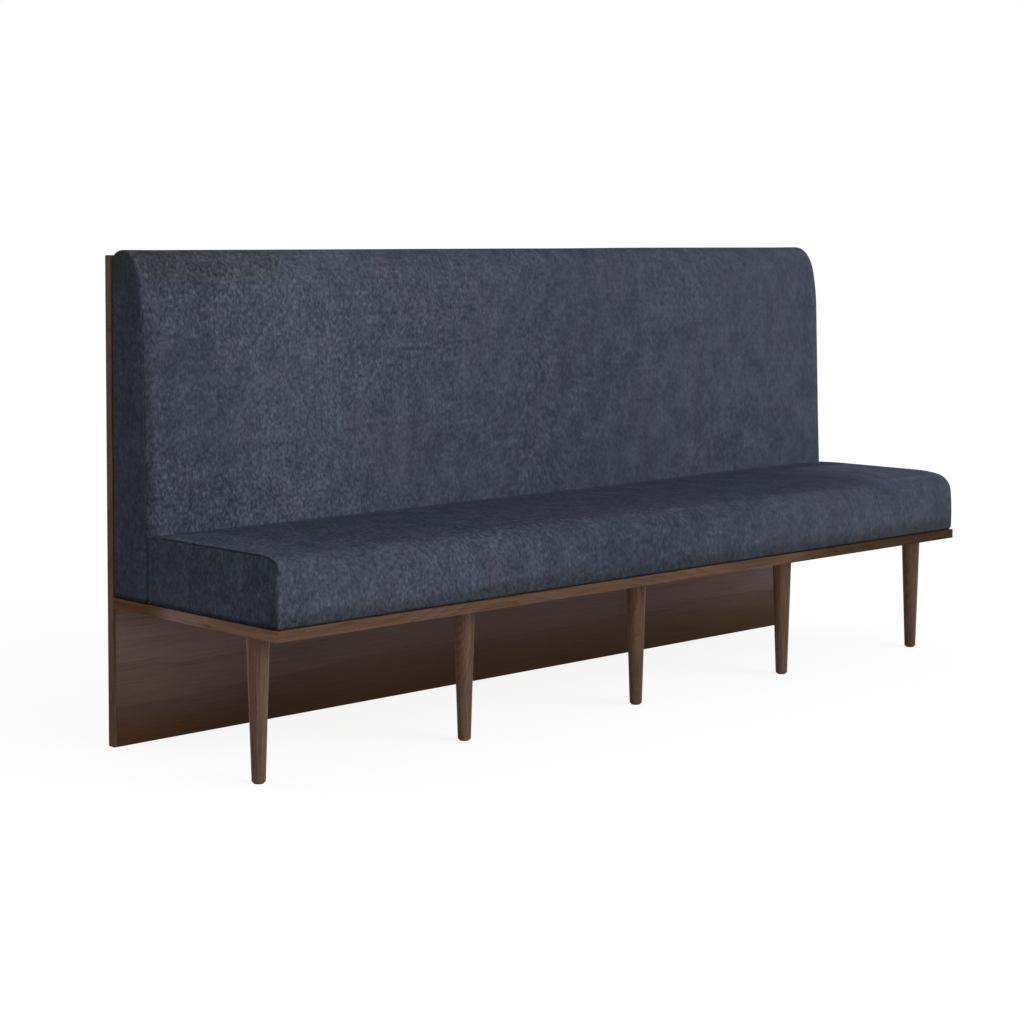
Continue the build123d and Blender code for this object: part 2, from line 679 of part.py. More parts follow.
def back_rail_clip():
    """Rail that carries the hanger clips, let into the rear of the uprights."""
    rail = block(
        (-BACK_FRAME_X, BACK_FRAME_X),
        (CLIP_SPACE, CLIP_SPACE + CLIP_RAIL_THICKNESS),
        (CLIP_RAIL_TOP - CLIP_RAIL_HEIGHT, CLIP_RAIL_TOP),
    )
    return rail - frame_clip_holes()


def back_upright(x):
    """Upright of the back's frame, notched behind for the clip rail."""
    half = BACK_RAIL_THICKNESS / 2
    width = (x - half, x + half)
    height = (FRAME_BASE + BACK_RAIL_THICKNESS, BACK_FRAME_TOP - BACK_RAIL_THICKNESS)
    notch = block(
        (x - half - OVERRUN, x + half + OVERRUN),
        (BACK_FRAME_REAR - OVERRUN, CLIP_SPACE + CLIP_RAIL_THICKNESS),
        (CLIP_RAIL_TOP - CLIP_RAIL_HEIGHT, CLIP_RAIL_TOP),
    )
    return block(width, (BACK_FRAME_REAR, BACK_FRAME_FRONT), height) - notch


def back_webbing():
    """Upright elastic strips on the front of the back's frame."""
    half = BACK_WEBBING_WIDTH / 2
    end = BACK_FRAME_X - BACK_RAIL_THICKNESS - half
    front = BACK_FRAME_FRONT + WEBBING_THICKNESS
    return [
        block((x - half, x + half), (BACK_FRAME_FRONT, front), (FRAME_BASE, BACK_FRAME_TOP))
        for x in spread(BACK_WEBBING_COUNT, -end, end)
    ]


def back_foam():
    """Foam in front of the webbing and over the top and ends of the back's frame."""
    return foam_core(back_form) - back_frame_space(LAYER_GAP)


def back_wrap():
    """Polyester wrap round the back's foam, open behind and below for the frame."""
    return wrap_layer(back_form) - back_frame_space(LAYER_GAP)


def back_cover():
    """Fabric over the back, turned round behind the frame in a stapled flange."""
    shell = back_form(0, SEAM_X) - back_form(FABRIC, SEAM_X, OVERRUN)
    mouth = block(
        (-BACK_FRAME_X + STAPLE_FLANGE, BACK_FRAME_X - STAPLE_FLANGE),
        (-PANEL_THICKNESS, BACK_FRAME_REAR + LAYER_GAP),
        (FRAME_BASE + STAPLE_FLANGE, BACK_FRAME_TOP - STAPLE_FLANGE),
    )
    return shell - mouth - deck_screw_holes(back_screw_places())


# Hanger clips

def clip_seat_z():
    """Height where a frame clip's lip rests in a panel clip."""
    return CLIP_RAIL_TOP - CLIP_RAIL_HEIGHT / 2 - CLIP_LIP / 2


def clip_bar(points, x):
    """Short length of a clip's section, centred on x."""
    return extrude(side_plane(x) * make_face(Polyline(*points, close=True)), CLIP_LENGTH / 2, both=True)


def panel_clip(x):
    """Clip on the panel: a flange below, a step out, and a lip that points up."""
    z = clip_seat_z()
    near = CLIP_METAL + LAYER_GAP
    far = near + CLIP_METAL
    points = [
        (0, z - CLIP_FLANGE), (CLIP_METAL, z - CLIP_FLANGE), (CLIP_METAL, z - CLIP_METAL),
        (far, z - CLIP_METAL), (far, z + CLIP_LIP), (near, z + CLIP_LIP), (near, z), (0, z),
    ]
    return clip_bar(points, x) - panel_clip_holes()


def frame_clip(x):
    """Clip on the frame: a flange above, a step back, and a lip that hangs behind the other's."""
    z = clip_seat_z()
    near = LAYER_GAP / 2
    step = z + CLIP_LIP + LAYER_GAP
    top = step + CLIP_FLANGE
    rear = CLIP_SPACE - CLIP_METAL
    points = [
        (near, z), (near + CLIP_METAL, z), (near + CLIP_METAL, step), (CLIP_SPACE, step),
        (CLIP_SPACE, top), (rear, top), (rear, step + CLIP_METAL), (near, step + CLIP_METAL),
    ]
    return clip_bar(points, x) - frame_clip_holes()


def clip_screw_spots(z):
    """X and Z of the two screws of each clip."""
    off = CLIP_LENGTH / 2 - CLIP_SCREW_INSET
    return [(x + side * off, z) for x in clip_places() for side in (-1, 1)]


def panel_clip_spots():
    """X and Z of the screws into the panel."""
    return clip_screw_spots(clip_seat_z() - (CLIP_FLANGE + CLIP_METAL) / 2)


def frame_clip_spots():
    """X and Z of the screws into the clip rail."""
    step = clip_seat_z() + CLIP_LIP + LAYER_GAP + CLIP_METAL
    return clip_screw_spots(step + (CLIP_FLANGE - CLIP_METAL) / 2)


def clip_screws():
    """Screws of both sets of clips."""
    one = screw(CLIP_SCREW_SHANK, CLIP_SCREW_LENGTH, CLIP_SCREW_HEAD, CLIP_SCREW_HEAD_HEIGHT)
    into_panel = [rearward(x, CLIP_METAL, z) * one for x, z in panel_clip_spots()]
    into_rail = [forward(x, CLIP_SPACE - CLIP_METAL, z) * one for x, z in frame_clip_spots()]
    return into_panel + into_rail


def panel_clip_holes():
    """Holes for the screws of the panel clips."""
    one = pilot(CLIP_SCREW_SHANK, CLIP_SCREW_LENGTH)
    return [rearward(x, CLIP_METAL, z) * one for x, z in panel_clip_spots()]


def frame_clip_holes():
    """Holes for the screws of the frame clips."""
    one = pilot(CLIP_SCREW_SHANK, CLIP_SCREW_LENGTH)
    return [forward(x, CLIP_SPACE - CLIP_METAL, z) * one for x, z in frame_clip_spots()]


# All the pieces, by name

def build():
    """Every piece of the banquette, by the name of its node."""
    nodes = {
        "back_panel": back_panel(),
        "back_panel_edge_left": panel_edge_side(-1),
        "back_panel_edge_right": panel_edge_side(1),
        "back_panel_edge_top": panel_edge_top(),
        "seat_deck": seat_deck(),
        "deck_edge_front": deck_edge_front(),
        "deck_edge_left": deck_edge_side(-1),
        "deck_edge_right": deck_edge_side(1),
        "deck_cleat": deck_cleat(),
        "cleat_panel_screws": solids_of(cleat_panel_screws()),
        "cleat_deck_screws": solids_of(cleat_deck_screws()),
        "seat_rail_front": seat_rail_long(SEAT_FRAME_FRONT - SEAT_RAIL_THICKNESS),
        "seat_rail_rear": seat_rail_long(SEAT_FRAME_REAR),
        "seat_rail_left": seat_rail_end(-1),
        "seat_rail_right": seat_rail_end(1),
        "seat_corner_blocks": solids_of(seat_corner_blocks()),
        "seat_webbing": solids_of(seat_webbing()),
        "seat_foam": seat_foam(),
        "seat_wrap": seat_wrap(),
        "seat_cover": seat_cover(),
        "seat_cover_end_left": end_panel(seat_outline, -1),
        "seat_cover_end_right": end_panel(seat_outline, 1),
        "seat_lining": seat_lining(),
        "seat_screws": solids_of(deck_screws(seat_screw_places())),
        "back_rail_bottom": back_rail(FRAME_BASE),
        "back_rail_top": back_rail(BACK_FRAME_TOP - BACK_RAIL_THICKNESS),
        "back_rail_clip": back_rail_clip(),
        "back_webbing": solids_of(back_webbing()),
        "back_foam": back_foam(),
        "back_wrap": back_wrap(),
        "back_cover": back_cover(),
        "back_cover_end_left": end_panel(back_outline, -1),
        "back_cover_end_right": end_panel(back_outline, 1),
        "back_screws": solids_of(deck_screws(back_screw_places())),
        "panel_clips": solids_of([panel_clip(x) for x in clip_places()]),
        "frame_clips": solids_of([frame_clip(x) for x in clip_places()]),
        "clip_screws": solids_of(clip_screws()),
        "leg_plates": solids_of([upward(x, LEG_REACH, LEG_TOP) * leg_plate() for x in leg_places()]),
        "leg_plate_screws": solids_of(plate_screws()),
        "leg_hanger_bolts": solids_of([upward(x, LEG_REACH, 0) * hanger_bolt() for x in leg_places()]),
    }
    for number, rail in enumerate(seat_cross_rails(), 1):
        nodes[f"seat_cross_rail_{number}"] = rail
    for number, x in enumerate(upright_places(), 1):
        nodes[f"back_upright_{number}"] = back_upright(x)
    for number, x in enumerate(leg_places(), 1):
        nodes[f"leg_{number}"] = upward(x, LEG_REACH, 0) * leg()
        nodes[f"leg_glide_{number}"] = upward(x, LEG_REACH, 0) * glide()
    return nodes


os.makedirs("parts", exist_ok=True)
for name, piece in build().items():
    export_step(piece, f"parts/{name}.step")
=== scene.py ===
import math

import bpy
import numpy as np
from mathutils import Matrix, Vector

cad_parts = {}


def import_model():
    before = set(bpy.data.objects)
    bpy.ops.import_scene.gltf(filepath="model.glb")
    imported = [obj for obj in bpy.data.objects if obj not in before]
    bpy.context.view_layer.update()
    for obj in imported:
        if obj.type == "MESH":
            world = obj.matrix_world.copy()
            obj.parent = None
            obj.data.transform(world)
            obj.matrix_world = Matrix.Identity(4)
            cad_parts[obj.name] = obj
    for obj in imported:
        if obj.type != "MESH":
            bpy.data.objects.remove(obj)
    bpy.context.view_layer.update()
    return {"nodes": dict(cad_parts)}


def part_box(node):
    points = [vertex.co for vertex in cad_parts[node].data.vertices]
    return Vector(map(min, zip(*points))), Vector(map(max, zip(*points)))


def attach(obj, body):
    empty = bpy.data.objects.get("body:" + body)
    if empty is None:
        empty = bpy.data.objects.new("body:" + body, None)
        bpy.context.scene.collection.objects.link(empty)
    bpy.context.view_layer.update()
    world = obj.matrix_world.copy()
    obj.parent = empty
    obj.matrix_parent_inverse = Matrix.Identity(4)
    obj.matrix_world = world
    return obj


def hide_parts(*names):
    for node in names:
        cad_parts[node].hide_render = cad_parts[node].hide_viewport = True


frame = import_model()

# Banquette seat: walnut panel, deck and turned legs under a padded seat and back in a slate blue
# chenille weave. Everything is in metres. X runs along the seat, -Y is the front, Z is up.

NODES = frame["nodes"]
BODY = "root"
TAU = 2 * math.pi
TINY = 1e-9
X, Y, Z, FROM_LEG = range(4)


def limits(cad_node):
    """Lowest and highest corner of a CAD node as arrays."""
    low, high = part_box(cad_node)
    return np.array(low), np.array(high)


SEAT_LOW, SEAT_HIGH = limits("seat_cover")
BACK_LOW, BACK_HIGH = limits("back_cover")
PANEL_FRONT = limits("back_panel")[0][Y]
DECK_TOP = limits("seat_deck")[1][Z]
SEAM_X = SEAT_HIGH[X]
LEG_LINE = (sum(limits("leg_3")) / 2)[Y]
LEG_PITCH = limits("leg_4")[0][X] - limits("leg_3")[0][X]

# Seat form, as the frame's solid has it: a crowned top, a soft front roll and tighter ends. The steps
# are the points along each stretch of its ring
SEAT_CROWN = 0.0015
SEAT_END_DROP = 0.0015
SEAT_END_DRAW = 0.0015
SEAT_REAR_CORNER = 0.007
SEAT_REAR_DIP = 0.002
SEAT_DIP_DEPTH = 0.095
SEAT_ROLL_DEPTH = 0.137
SEAT_ROLL_DROP = 0.0595
SEAT_LEFT_ROLL_DEPTH = 0.062
SEAT_LEFT_ROLL_DROP = 0.030
SEAT_RIGHT_ROLL_DEPTH = 0.110
SEAT_RIGHT_ROLL_DROP = 0.052
SEAT_RISE = 0.006
SEAT_RISE_SHARES = (0.15, 0.75)
ROLL_SHARES = ((1.0, 0.0), (0.40, 0.117), (0.095, 0.517))
SEAT_BULGE = 0.0025
SEAT_FACE_BOW = 3 * SEAT_BULGE
SEAT_TUCK = 0.009
SEAT_TUCK_HEIGHT = 0.009
SEAT_BLEND = 0.150
SEAT_STEPS = {"rear": 10, "corner": 6, "dip": 9, "top": 22, "upper": 9, "nose": 7, "lower": 5,
              "face": 9, "tuck": 5, "under": 16}

# Back form: an upright face, a long shoulder and a rounded top
BACK_CROWN = 0.0015
BACK_SHOULDER = 0.180
BACK_MID_SHARE = 0.387
BACK_FACE_SHARES = (1.0, 1.0, 0.98)
BACK_END_FACE_SHARES = (1.0, 1.0, 0.955)
SHOULDER_SHARES = ((0.93, 0.0), (0.8125, 0.639), (0.586, 0.922), (0.297, 1.0), (0.0, 0.911))
END_SHOULDER_SHARES = ((0.90, 0.05), (0.80, 0.644), (0.60, 0.911), (0.297, 1.0), (0.0, 0.92))
BACK_BLEND = 0.036
BACK_RISE = 0.002
BACK_RISE_SHARES = (0.1, 0.5)
BACK_STEPS = {"under": 6, "foot": 8, "low": 15, "high": 24, "upper": 12, "join": 8, "nose": 7,
              "roll": 6, "rear": 19}

# Spine of each section, towards which seams and inner layers draw in
SEAT_HALF = (SEAT_HIGH[Z] - DECK_TOP) / 2
SEAT_MID_Z = (DECK_TOP + SEAT_HIGH[Z]) / 2
SEAT_SPINE = ((-SEAT_HIGH[Y] + SEAT_HALF, SEAT_MID_Z), (-SEAT_LOW[Y] - SEAT_HALF, SEAT_MID_Z))
BACK_HALF = (BACK_HIGH[Y] - BACK_LOW[Y]) / 2
BACK_MID_F = -(BACK_LOW[Y] + BACK_HIGH[Y]) / 2
BACK_SPINE = ((BACK_MID_F, DECK_TOP + BACK_HALF), (BACK_MID_F, BACK_HIGH[Z] - BACK_HALF))

# Sewn end seams: how the two cloths turn in, as pairs of distance from the seam and depth
SEAM_DEPTH = 0.0022
BAND_LIP = ((0.0, 1.0), (0.0005, 0.55), (0.0012, 0.22), (0.0022, 0.05), (0.0035, 0.0))
PANEL_LIP = ((0.0006, 1.0), (0.0012, 1.25), (0.0016, 1.7), (0.0019, 2.4))

# Rows of an end panel, whose dome fades out from the seam, and rows beside the seam on the band
END_DOME = 0.003
DOME_FADE = 0.012
DOME_INWARD = 2
END_POWER = 3.0
DOME_DEPTHS = (0.010, 0.016, 0.024)
DOME_SHARES = (0.25, 0.5, 0.75, 0.93)
POLE_SHARES = (0.4, 0.75, 0.95)
SEAM_STEPS = (0.006, 0.0095, 0.0145, 0.021)
GRID = 0.011


# Curves and grids

def mix(a, b, share):
    """Value that lies the given share of the way from a to b."""
    return a + (b - a) * share


def at(forward, height):
    """Points of a cross section, one per row: distance forward of the origin, and height."""
    forward, height = np.broadcast_arrays(forward, height)
    return np.stack([forward, height], -1)


def line(start, end, steps):
    """Straight stretch of each row from start to end."""
    share = np.linspace(0, 1, steps)[None, :, None]
    return start[:, None] + (end - start)[:, None] * share


def arc(start, end, tangent, steps):
    """Circular stretch of each row that leaves start along the tangent and reaches end.
    The radius is the squared chord over twice the end's distance to the tangent's side, and the
    whole turn is twice the angle between tangent and chord. Returns the points and last tangent."""
    chord = end - start
    side = np.stack([-tangent[:, 1], tangent[:, 0]], -1)
    across = (chord * side).sum(-1)
    across = np.where(np.abs(across) < TINY, TINY, across)
    turn = 2 * np.arctan2(across, (chord * tangent).sum(-1))
    radius = (chord ** 2).sum(-1) / (2 * across)
    angle = turn[:, None] * np.linspace(0, 1, steps)
    along = np.sin(angle)[..., None] * tangent[:, None]
    aside = (1 - np.cos(angle))[..., None] * side[:, None]
    points = start[:, None] + radius[:, None, None] * (along + aside)
    last = np.cos(turn)[:, None] * tangent + np.sin(turn)[:, None] * side
    return points, last


def smooth_step(value, start, full):
    """Zero up to the start, one past full, and 3s^2 - 2s^3 of the share s between them."""
    share = np.clip((value - start) / (full - start), 0, 1)
    return share ** 2 * (3 - 2 * share)


def direction(rows, forward, height):
    """The same unit direction for every row."""
    return np.tile(np.array([forward, height], float), (rows, 1))


def chain(stretches):
    """Closed ring of every row from its stretches, without the points that they share."""
    return np.concatenate([stretch[:, :-1] for stretch in stretches], 1)


def seat_section(edge, crown, place):
    """Ring round the seat at each row, from its rear foot over the top to the front and back under it.
    Edge is 1 at an end seam and 0 inboard, crown is 1 in the middle of the length, and place runs from
    -1 at the left seam to 1 at the right one: the top rises a little towards the right end, where the
    front roll is also rounder."""
    rows = len(edge)
    left = place < 0
    rear, front = -SEAT_HIGH[Y], -SEAT_LOW[Y] - SEAT_END_DRAW * edge
    rise = SEAT_RISE * smooth_step(place, *SEAT_RISE_SHARES)
    top = SEAT_HIGH[Z] - SEAT_CROWN * (1 - crown) - SEAT_END_DROP * edge + rise
    depth = mix(SEAT_ROLL_DEPTH, np.where(left, SEAT_LEFT_ROLL_DEPTH, SEAT_RIGHT_ROLL_DEPTH), edge)
    drop = mix(SEAT_ROLL_DROP, np.where(left, SEAT_LEFT_ROLL_DROP, SEAT_RIGHT_ROLL_DROP), edge)
    roll = [at(front - depth * a, top - drop * b) for a, b in ROLL_SHARES]
    foot = at(rear, np.full(rows, DECK_TOP))
    shoulder = at(rear, top - SEAT_REAR_DIP - SEAT_REAR_CORNER)
    corner_end = at(rear + SEAT_REAR_CORNER, top - SEAT_REAR_DIP)
    dip_end = at(rear + SEAT_DIP_DEPTH, top)
    corner, _ = arc(shoulder, corner_end, direction(rows, 0, 1), SEAT_STEPS["corner"])
    dip, _ = arc(dip_end, corner_end, direction(rows, -1, 0), SEAT_STEPS["dip"])
    upper, tangent = arc(roll[0], roll[1], direction(rows, 1, 0), SEAT_STEPS["upper"])
    nose, tangent = arc(roll[1], roll[2], tangent, SEAT_STEPS["nose"])
    face_top = at(front - SEAT_BULGE, top - drop)
    face_low = at(front - SEAT_BULGE / 2, DECK_TOP + SEAT_TUCK_HEIGHT)
    lower, _ = arc(roll[2], face_top, tangent, SEAT_STEPS["lower"])
    face = line(face_top, face_low, SEAT_STEPS["face"])
    share = np.linspace(0, 1, SEAT_STEPS["face"])
    face[..., 0] += SEAT_FACE_BOW * share * (1 - share)
    under = at(front - SEAT_TUCK, np.full(rows, DECK_TOP))
    tuck, _ = arc(face_low, under, direction(rows, 0, -1), SEAT_STEPS["tuck"])
    return chain([line(foot, shoulder, SEAT_STEPS["rear"]), corner, dip[:, ::-1],
                  line(dip_end, roll[0], SEAT_STEPS["top"]), upper, nose, lower, face, tuck,
                  line(under, foot, SEAT_STEPS["under"])])


def back_section(edge, crown, place):
    """Ring round the back at each row, from its rear foot up the rear, over the top, down the face and
    back under it. Edge, crown and place are as on the seat, and the top rises a little to the right.
    It is worked out the other way round, from the foot forward, and reversed at the end."""
    rows = len(edge)
    rear, thick = -BACK_HIGH[Y], BACK_HIGH[Y] - BACK_LOW[Y]
    top = BACK_HIGH[Z] - BACK_CROWN * (1 - crown) + BACK_RISE * smooth_step(place, *BACK_RISE_SHARES)
    start = top - BACK_SHOULDER
    low, crease = np.full(rows, DECK_TOP), np.full(rows, SEAT_HIGH[Z])
    reach = [rear + thick * mix(a, b, edge) for a, b in zip(BACK_FACE_SHARES, BACK_END_FACE_SHARES)]
    rise = [at(rear + thick * mix(full[0], end[0], edge), start + BACK_SHOULDER * mix(full[1], end[1], edge))
            for full, end in zip(SHOULDER_SHARES, END_SHOULDER_SHARES)]
    foot, toe = at(rear, low), at(reach[0], low)
    knee, middle = at(reach[1], crease), at(reach[2], mix(crease, start, BACK_MID_SHARE))
    lean = rise[0] - middle
    lean = lean / np.linalg.norm(lean, axis=-1, keepdims=True)
    upper, tangent = arc(rise[0], rise[1], lean, BACK_STEPS["upper"])
    join, _ = arc(rise[1], rise[2], tangent, BACK_STEPS["join"])
    nose, _ = arc(rise[3], rise[2], direction(rows, 1, 0), BACK_STEPS["nose"])
    roll, _ = arc(rise[3], rise[4], direction(rows, -1, 0), BACK_STEPS["roll"])
    ring = chain([line(foot, toe, BACK_STEPS["under"]), line(toe, knee, BACK_STEPS["foot"]),
                  line(knee, middle, BACK_STEPS["low"]), line(middle, rise[0], BACK_STEPS["high"]),
                  upper, join, nose[:, ::-1], roll, line(rise[4], foot, BACK_STEPS["rear"])])
    return ring[:, ::-1]


# Section, spine and length of the end's shape of each cushion
FORMS = {"seat": (seat_section, SEAT_SPINE, SEAT_BLEND), "back": (back_section, BACK_SPINE, BACK_BLEND)}


def toward_spine(ring, spine):
    """Unit direction and distance from each ring point to the nearest point of the spine segment."""
    a, b = (np.array(end) for end in spine)
    share = np.clip(((ring - a) @ (b - a)) / ((b - a) @ (b - a)), 0, 1)
    gap = a + share[..., None] * (b - a) - ring
    distance = np.linalg.norm(gap, axis=-1, keepdims=True)
    return gap / distance, distance


def meridian(blend, fine):
    """Rows of a cushion from its left pole to its right pole, as arrays of X, depth below the outline,
    share of the rest of the way to the spine, share of the way from there to the spine's middle, and
    share of the end's shape, which fades inboard as a power of the way left. The dome of an end panel
    stands out by 1 - exp(-depth / fade) of its height. Fine rows add the lips of the sewn seams."""
    deepest, widest = DOME_DEPTHS[-1], DOME_SHARES[-1]
    dome = [(END_DOME * (1 - math.exp(-d / DOME_FADE)), d, 0.0, 0.0) for d in DOME_DEPTHS]
    edge = deepest / DOME_FADE
    dome += [(END_DOME * (1 - math.exp(-edge - DOME_INWARD * s)), deepest, s, 0.0) for s in DOME_SHARES]
    dome += [(END_DOME, deepest, widest, close) for close in POLE_SHARES]
    panel = [(out, SEAM_DEPTH * deep, 0.0, 0.0) for out, deep in PANEL_LIP] if fine else []
    lip = [(place, SEAM_DEPTH * deep) for place, deep in BAND_LIP] if fine else [(0.0, 0.0)]
    steps = list(SEAM_STEPS) if fine else [GRID]
    count = int(round((SEAM_X - steps[-1]) / GRID))
    inboard = list(np.linspace(steps[-1], SEAM_X, count + 1))[1:]
    half = [(-SEAM_X - out, deep, share, close, 1.0) for out, deep, share, close in reversed(panel + dome)]
    for place, deep in lip + [(step, 0.0) for step in steps + inboard]:
        half.append((-SEAM_X + place, deep, 0.0, 0.0, max(0.0, 1 - place / blend) ** END_POWER))
    rows = np.array(half)
    mirrored = rows[-2::-1] * (-1, 1, 1, 1, 1)
    return np.concatenate([rows, mirrored])


def cushion_grid(part, inset=0.0, fine=True):
    """Closed cushion as a grid: rows run from pole to pole along X, columns run round the section."""
    section, spine, blend = FORMS[part]
    rows = meridian(blend, fine)
    x, deep, share, close, edge = rows.T
    crown = 1 - np.minimum(1, np.abs(x) / SEAM_X)
    ring = section(edge, crown, x / SEAM_X)
    way, distance = toward_spine(ring, spine)
    deep = deep[:, None, None] + inset
    ring = ring + way * (deep + share[:, None, None] * (distance - deep))
    ring = mix(ring, np.mean(spine, 0), close[:, None, None])
    x = np.sign(x) * np.maximum(np.abs(x) - inset, 0)
    points = np.stack([np.broadcast_to(x[:, None], ring.shape[:2]), -ring[..., 0], ring[..., 1]], -1)
    return points, rows


def grid_faces(rows, columns):
    """Corner numbers of the quads of a grid whose columns close on themselves, and of its two poles."""
    number = np.arange(rows * columns).reshape(rows, columns)
    after = np.roll(number, -1, 1)
    quads = np.stack([number[:-1], after[:-1], after[1:], number[1:]], -1).reshape(-1, 4)
    return quads.tolist() + [number[0][::-1].tolist(), number[-1].tolist()]


def add_object(name, data):
    """Object with the given data, in the scene."""
    made = bpy.data.objects.new(name, data)
    bpy.context.scene.collection.objects.link(made)
    return made


def numbers(items, key, width, kind=float):
    """One property of all the items of a mesh, as an array with a row for each."""
    values = np.empty(len(items) * width, kind)
    items.foreach_get(key, values)
    return values.reshape(-1, width)


def make_mesh(name, points, faces, smooth=True):
    """Object at the origin with its place in its mesh."""
    mesh = bpy.data.meshes.new(name)
    mesh.from_pydata(np.asarray(points).reshape(-1, 3).tolist(), [], faces)
    mesh.validate()
    mesh.polygons.foreach_set("use_smooth", np.full(len(mesh.polygons), smooth))
    mesh.update()
    return add_object(name, mesh)


def make_grids(name, grids):
    """One object of several closed grids, each an array of rows and columns of points."""
    faces, count = [], 0
    for grid in grids:
        faces += [[corner + count for corner in face] for face in grid_faces(*grid.shape[:2])]
        count += grid.shape[0] * grid.shape[1]
    return make_mesh(name, np.concatenate([grid.reshape(-1, 3) for grid in grids]), faces)


def finish_piece(made, material, slot, *nodes):
    """Gives a piece its finish, sets it on the body and lets it stand for CAD nodes."""
    made.data.materials.append(material)
    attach(made, BODY)
    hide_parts(*nodes)
    return made


# Chart of the cloth, in metres: the end panels lie well away from the long band

PANEL_CHART_PLACE = 5.0


def quad_corners(chart):
    """Chart places of the four corners of each quad, in the order of grid_faces."""
    return np.stack([chart[:-1, :-1], chart[:-1, 1:], chart[1:, 1:], chart[1:, :-1]], 2)


def cloth_chart(made, points, rows):
    """Own UV map in metres, so that the weave follows the cloth: along the length and round the
    girth, from a third of the way round, on the long band, and across and up on the end panels."""
    count, columns = points.shape[:2]
    step = np.linalg.norm(np.roll(points, -1, 1) - points, axis=-1)
    girth = np.concatenate([np.zeros((count, 1)), np.cumsum(step, 1)], 1)
    girth -= girth[:, [columns // 3]]
    long_u = np.broadcast_to(points[:, :1, 0], girth.shape)
    closed = np.concatenate([points, points[:, :1]], 1)
    band = np.stack([long_u, girth], -1)
    panel = np.stack([closed[..., 1] + PANEL_CHART_PLACE, closed[..., 2]], -1)
    seam_rows = np.abs(rows[:, 0]) >= SEAM_X - TINY
    on_panel = seam_rows[:-1] & seam_rows[1:]
    chart = np.where(on_panel[:, None, None, None], quad_corners(panel), quad_corners(band))
    poles = np.concatenate([panel[0, :-1][::-1], panel[-1, :-1]])
    layer = made.data.uv_layers.new(name="cloth")
    layer.data.foreach_set("uv", np.concatenate([chart.reshape(-1, 2), poles]).ravel())


# Cloth over the foam: pressure swells it, the foam's support holds it back, and its edges are held

CLOTH_MASS = 0.3
PRESSURE = 4.0
FRAMES = 20
DRAWN_IN = 0.0024
MOST_MOVE = 0.006
HELD_AT_SEAM = 0.090
HELD_AT_REAR = 0.012
HELD_FADE = 0.030
HELD_ABOVE = {"seat": DECK_TOP + 0.012, "back": SEAT_HIGH[Z] + 0.004}
SUPPORT = 0.38
SUPPORT_DRIFT = 0.040
SUPPORT_STEPS = 100
WAVE_COUNT = 24
WAVE_LENGTH = 0.30
WAVE_SPREAD = (0.7, 1.6)
WAVE_SEEDS = {"seat": 7, "back": 11}
MEAN_KEPT = 0.35


def looseness(points, part):
    """Share by which each point of the cloth is free: none at the end seams, the foot and the rear."""
    from_seam = smooth_step(SEAM_X - np.abs(points[..., 0]), 0.0, HELD_AT_SEAM)
    above = points[..., 2] - HELD_ABOVE[part]
    before = points[..., 1].max() - HELD_AT_REAR - points[..., 1]
    return from_seam * smooth_step(above, 0.0, HELD_FADE) * smooth_step(before, 0.0, HELD_FADE)


def uneven_support(u, v, seed):
    """Gentle unevenness of the foam: a sum of waves of about one length, in seeded directions."""
    rng = np.random.default_rng(seed)
    total = np.zeros_like(u)
    for _ in range(WAVE_COUNT):
        turn, phase = rng.uniform(0, TAU, 2)
        number = TAU / (WAVE_LENGTH * rng.uniform(*WAVE_SPREAD))
        total += np.sin(number * (u * math.cos(turn) + v * math.sin(turn)) + phase)
    return total * SUPPORT_DRIFT / math.sqrt(WAVE_COUNT)


def spread_moves(moved, from_x, to_x):
    """Moves of every second row and column carried to a whole grid: straight between the known ones
    along X and round the section, and then each is averaged with its neighbours, twice along each."""
    row = np.clip(np.searchsorted(from_x, to_x, side="right") - 1, 0, len(from_x) - 2)
    gap = np.maximum(from_x[row + 1] - from_x[row], TINY)
    rows = mix(moved[row], moved[row + 1], np.clip((to_x - from_x[row]) / gap, 0, 1)[:, None, None])
    between = (rows + np.roll(rows, -1, 1)) / 2
    moves = np.stack([rows, between], 2).reshape(len(to_x), -1, 3)
    for axis in (0, 1, 0, 1):
        moves = (np.roll(moves, 1, axis) + 2 * moves + np.roll(moves, -1, axis)) / 4
    return moves


def simulated(part, start, weight):
    """Places of a cushion's cloth after the frames of its simulation. Each point is pulled back to
    its start by its weight, and a weight of one holds it."""
    trial = make_mesh(part + "_trial", start, grid_faces(*start.shape[:2]))
    held = trial.vertex_groups.new(name="held")
    step = np.round(weight.ravel() * SUPPORT_STEPS)
    for level in np.unique(step):
        held.add(np.flatnonzero(step == level).tolist(), level / SUPPORT_STEPS, "REPLACE")
    cloth = trial.modifiers.new("cloth", "CLOTH")
    cloth.settings.mass = CLOTH_MASS
    cloth.settings.use_pressure = True
    cloth.settings.uniform_pressure_force = PRESSURE
    cloth.settings.vertex_group_mass = held.name
    cloth.settings.effector_weights.gravity = 0.0
    cloth.collision_settings.use_collision = False
    cloth.point_cache.frame_start = 1
    cloth.point_cache.frame_end = FRAMES
    for number in range(1, FRAMES + 1):
        bpy.context.scene.frame_set(number)
    swollen = trial.evaluated_get(bpy.context.evaluated_depsgraph_get()).data
    places = numbers(swollen.vertices, "co", 3)
    bpy.data.meshes.remove(trial.data)
    bpy.context.scene.frame_set(1)
    return places.reshape(start.shape)


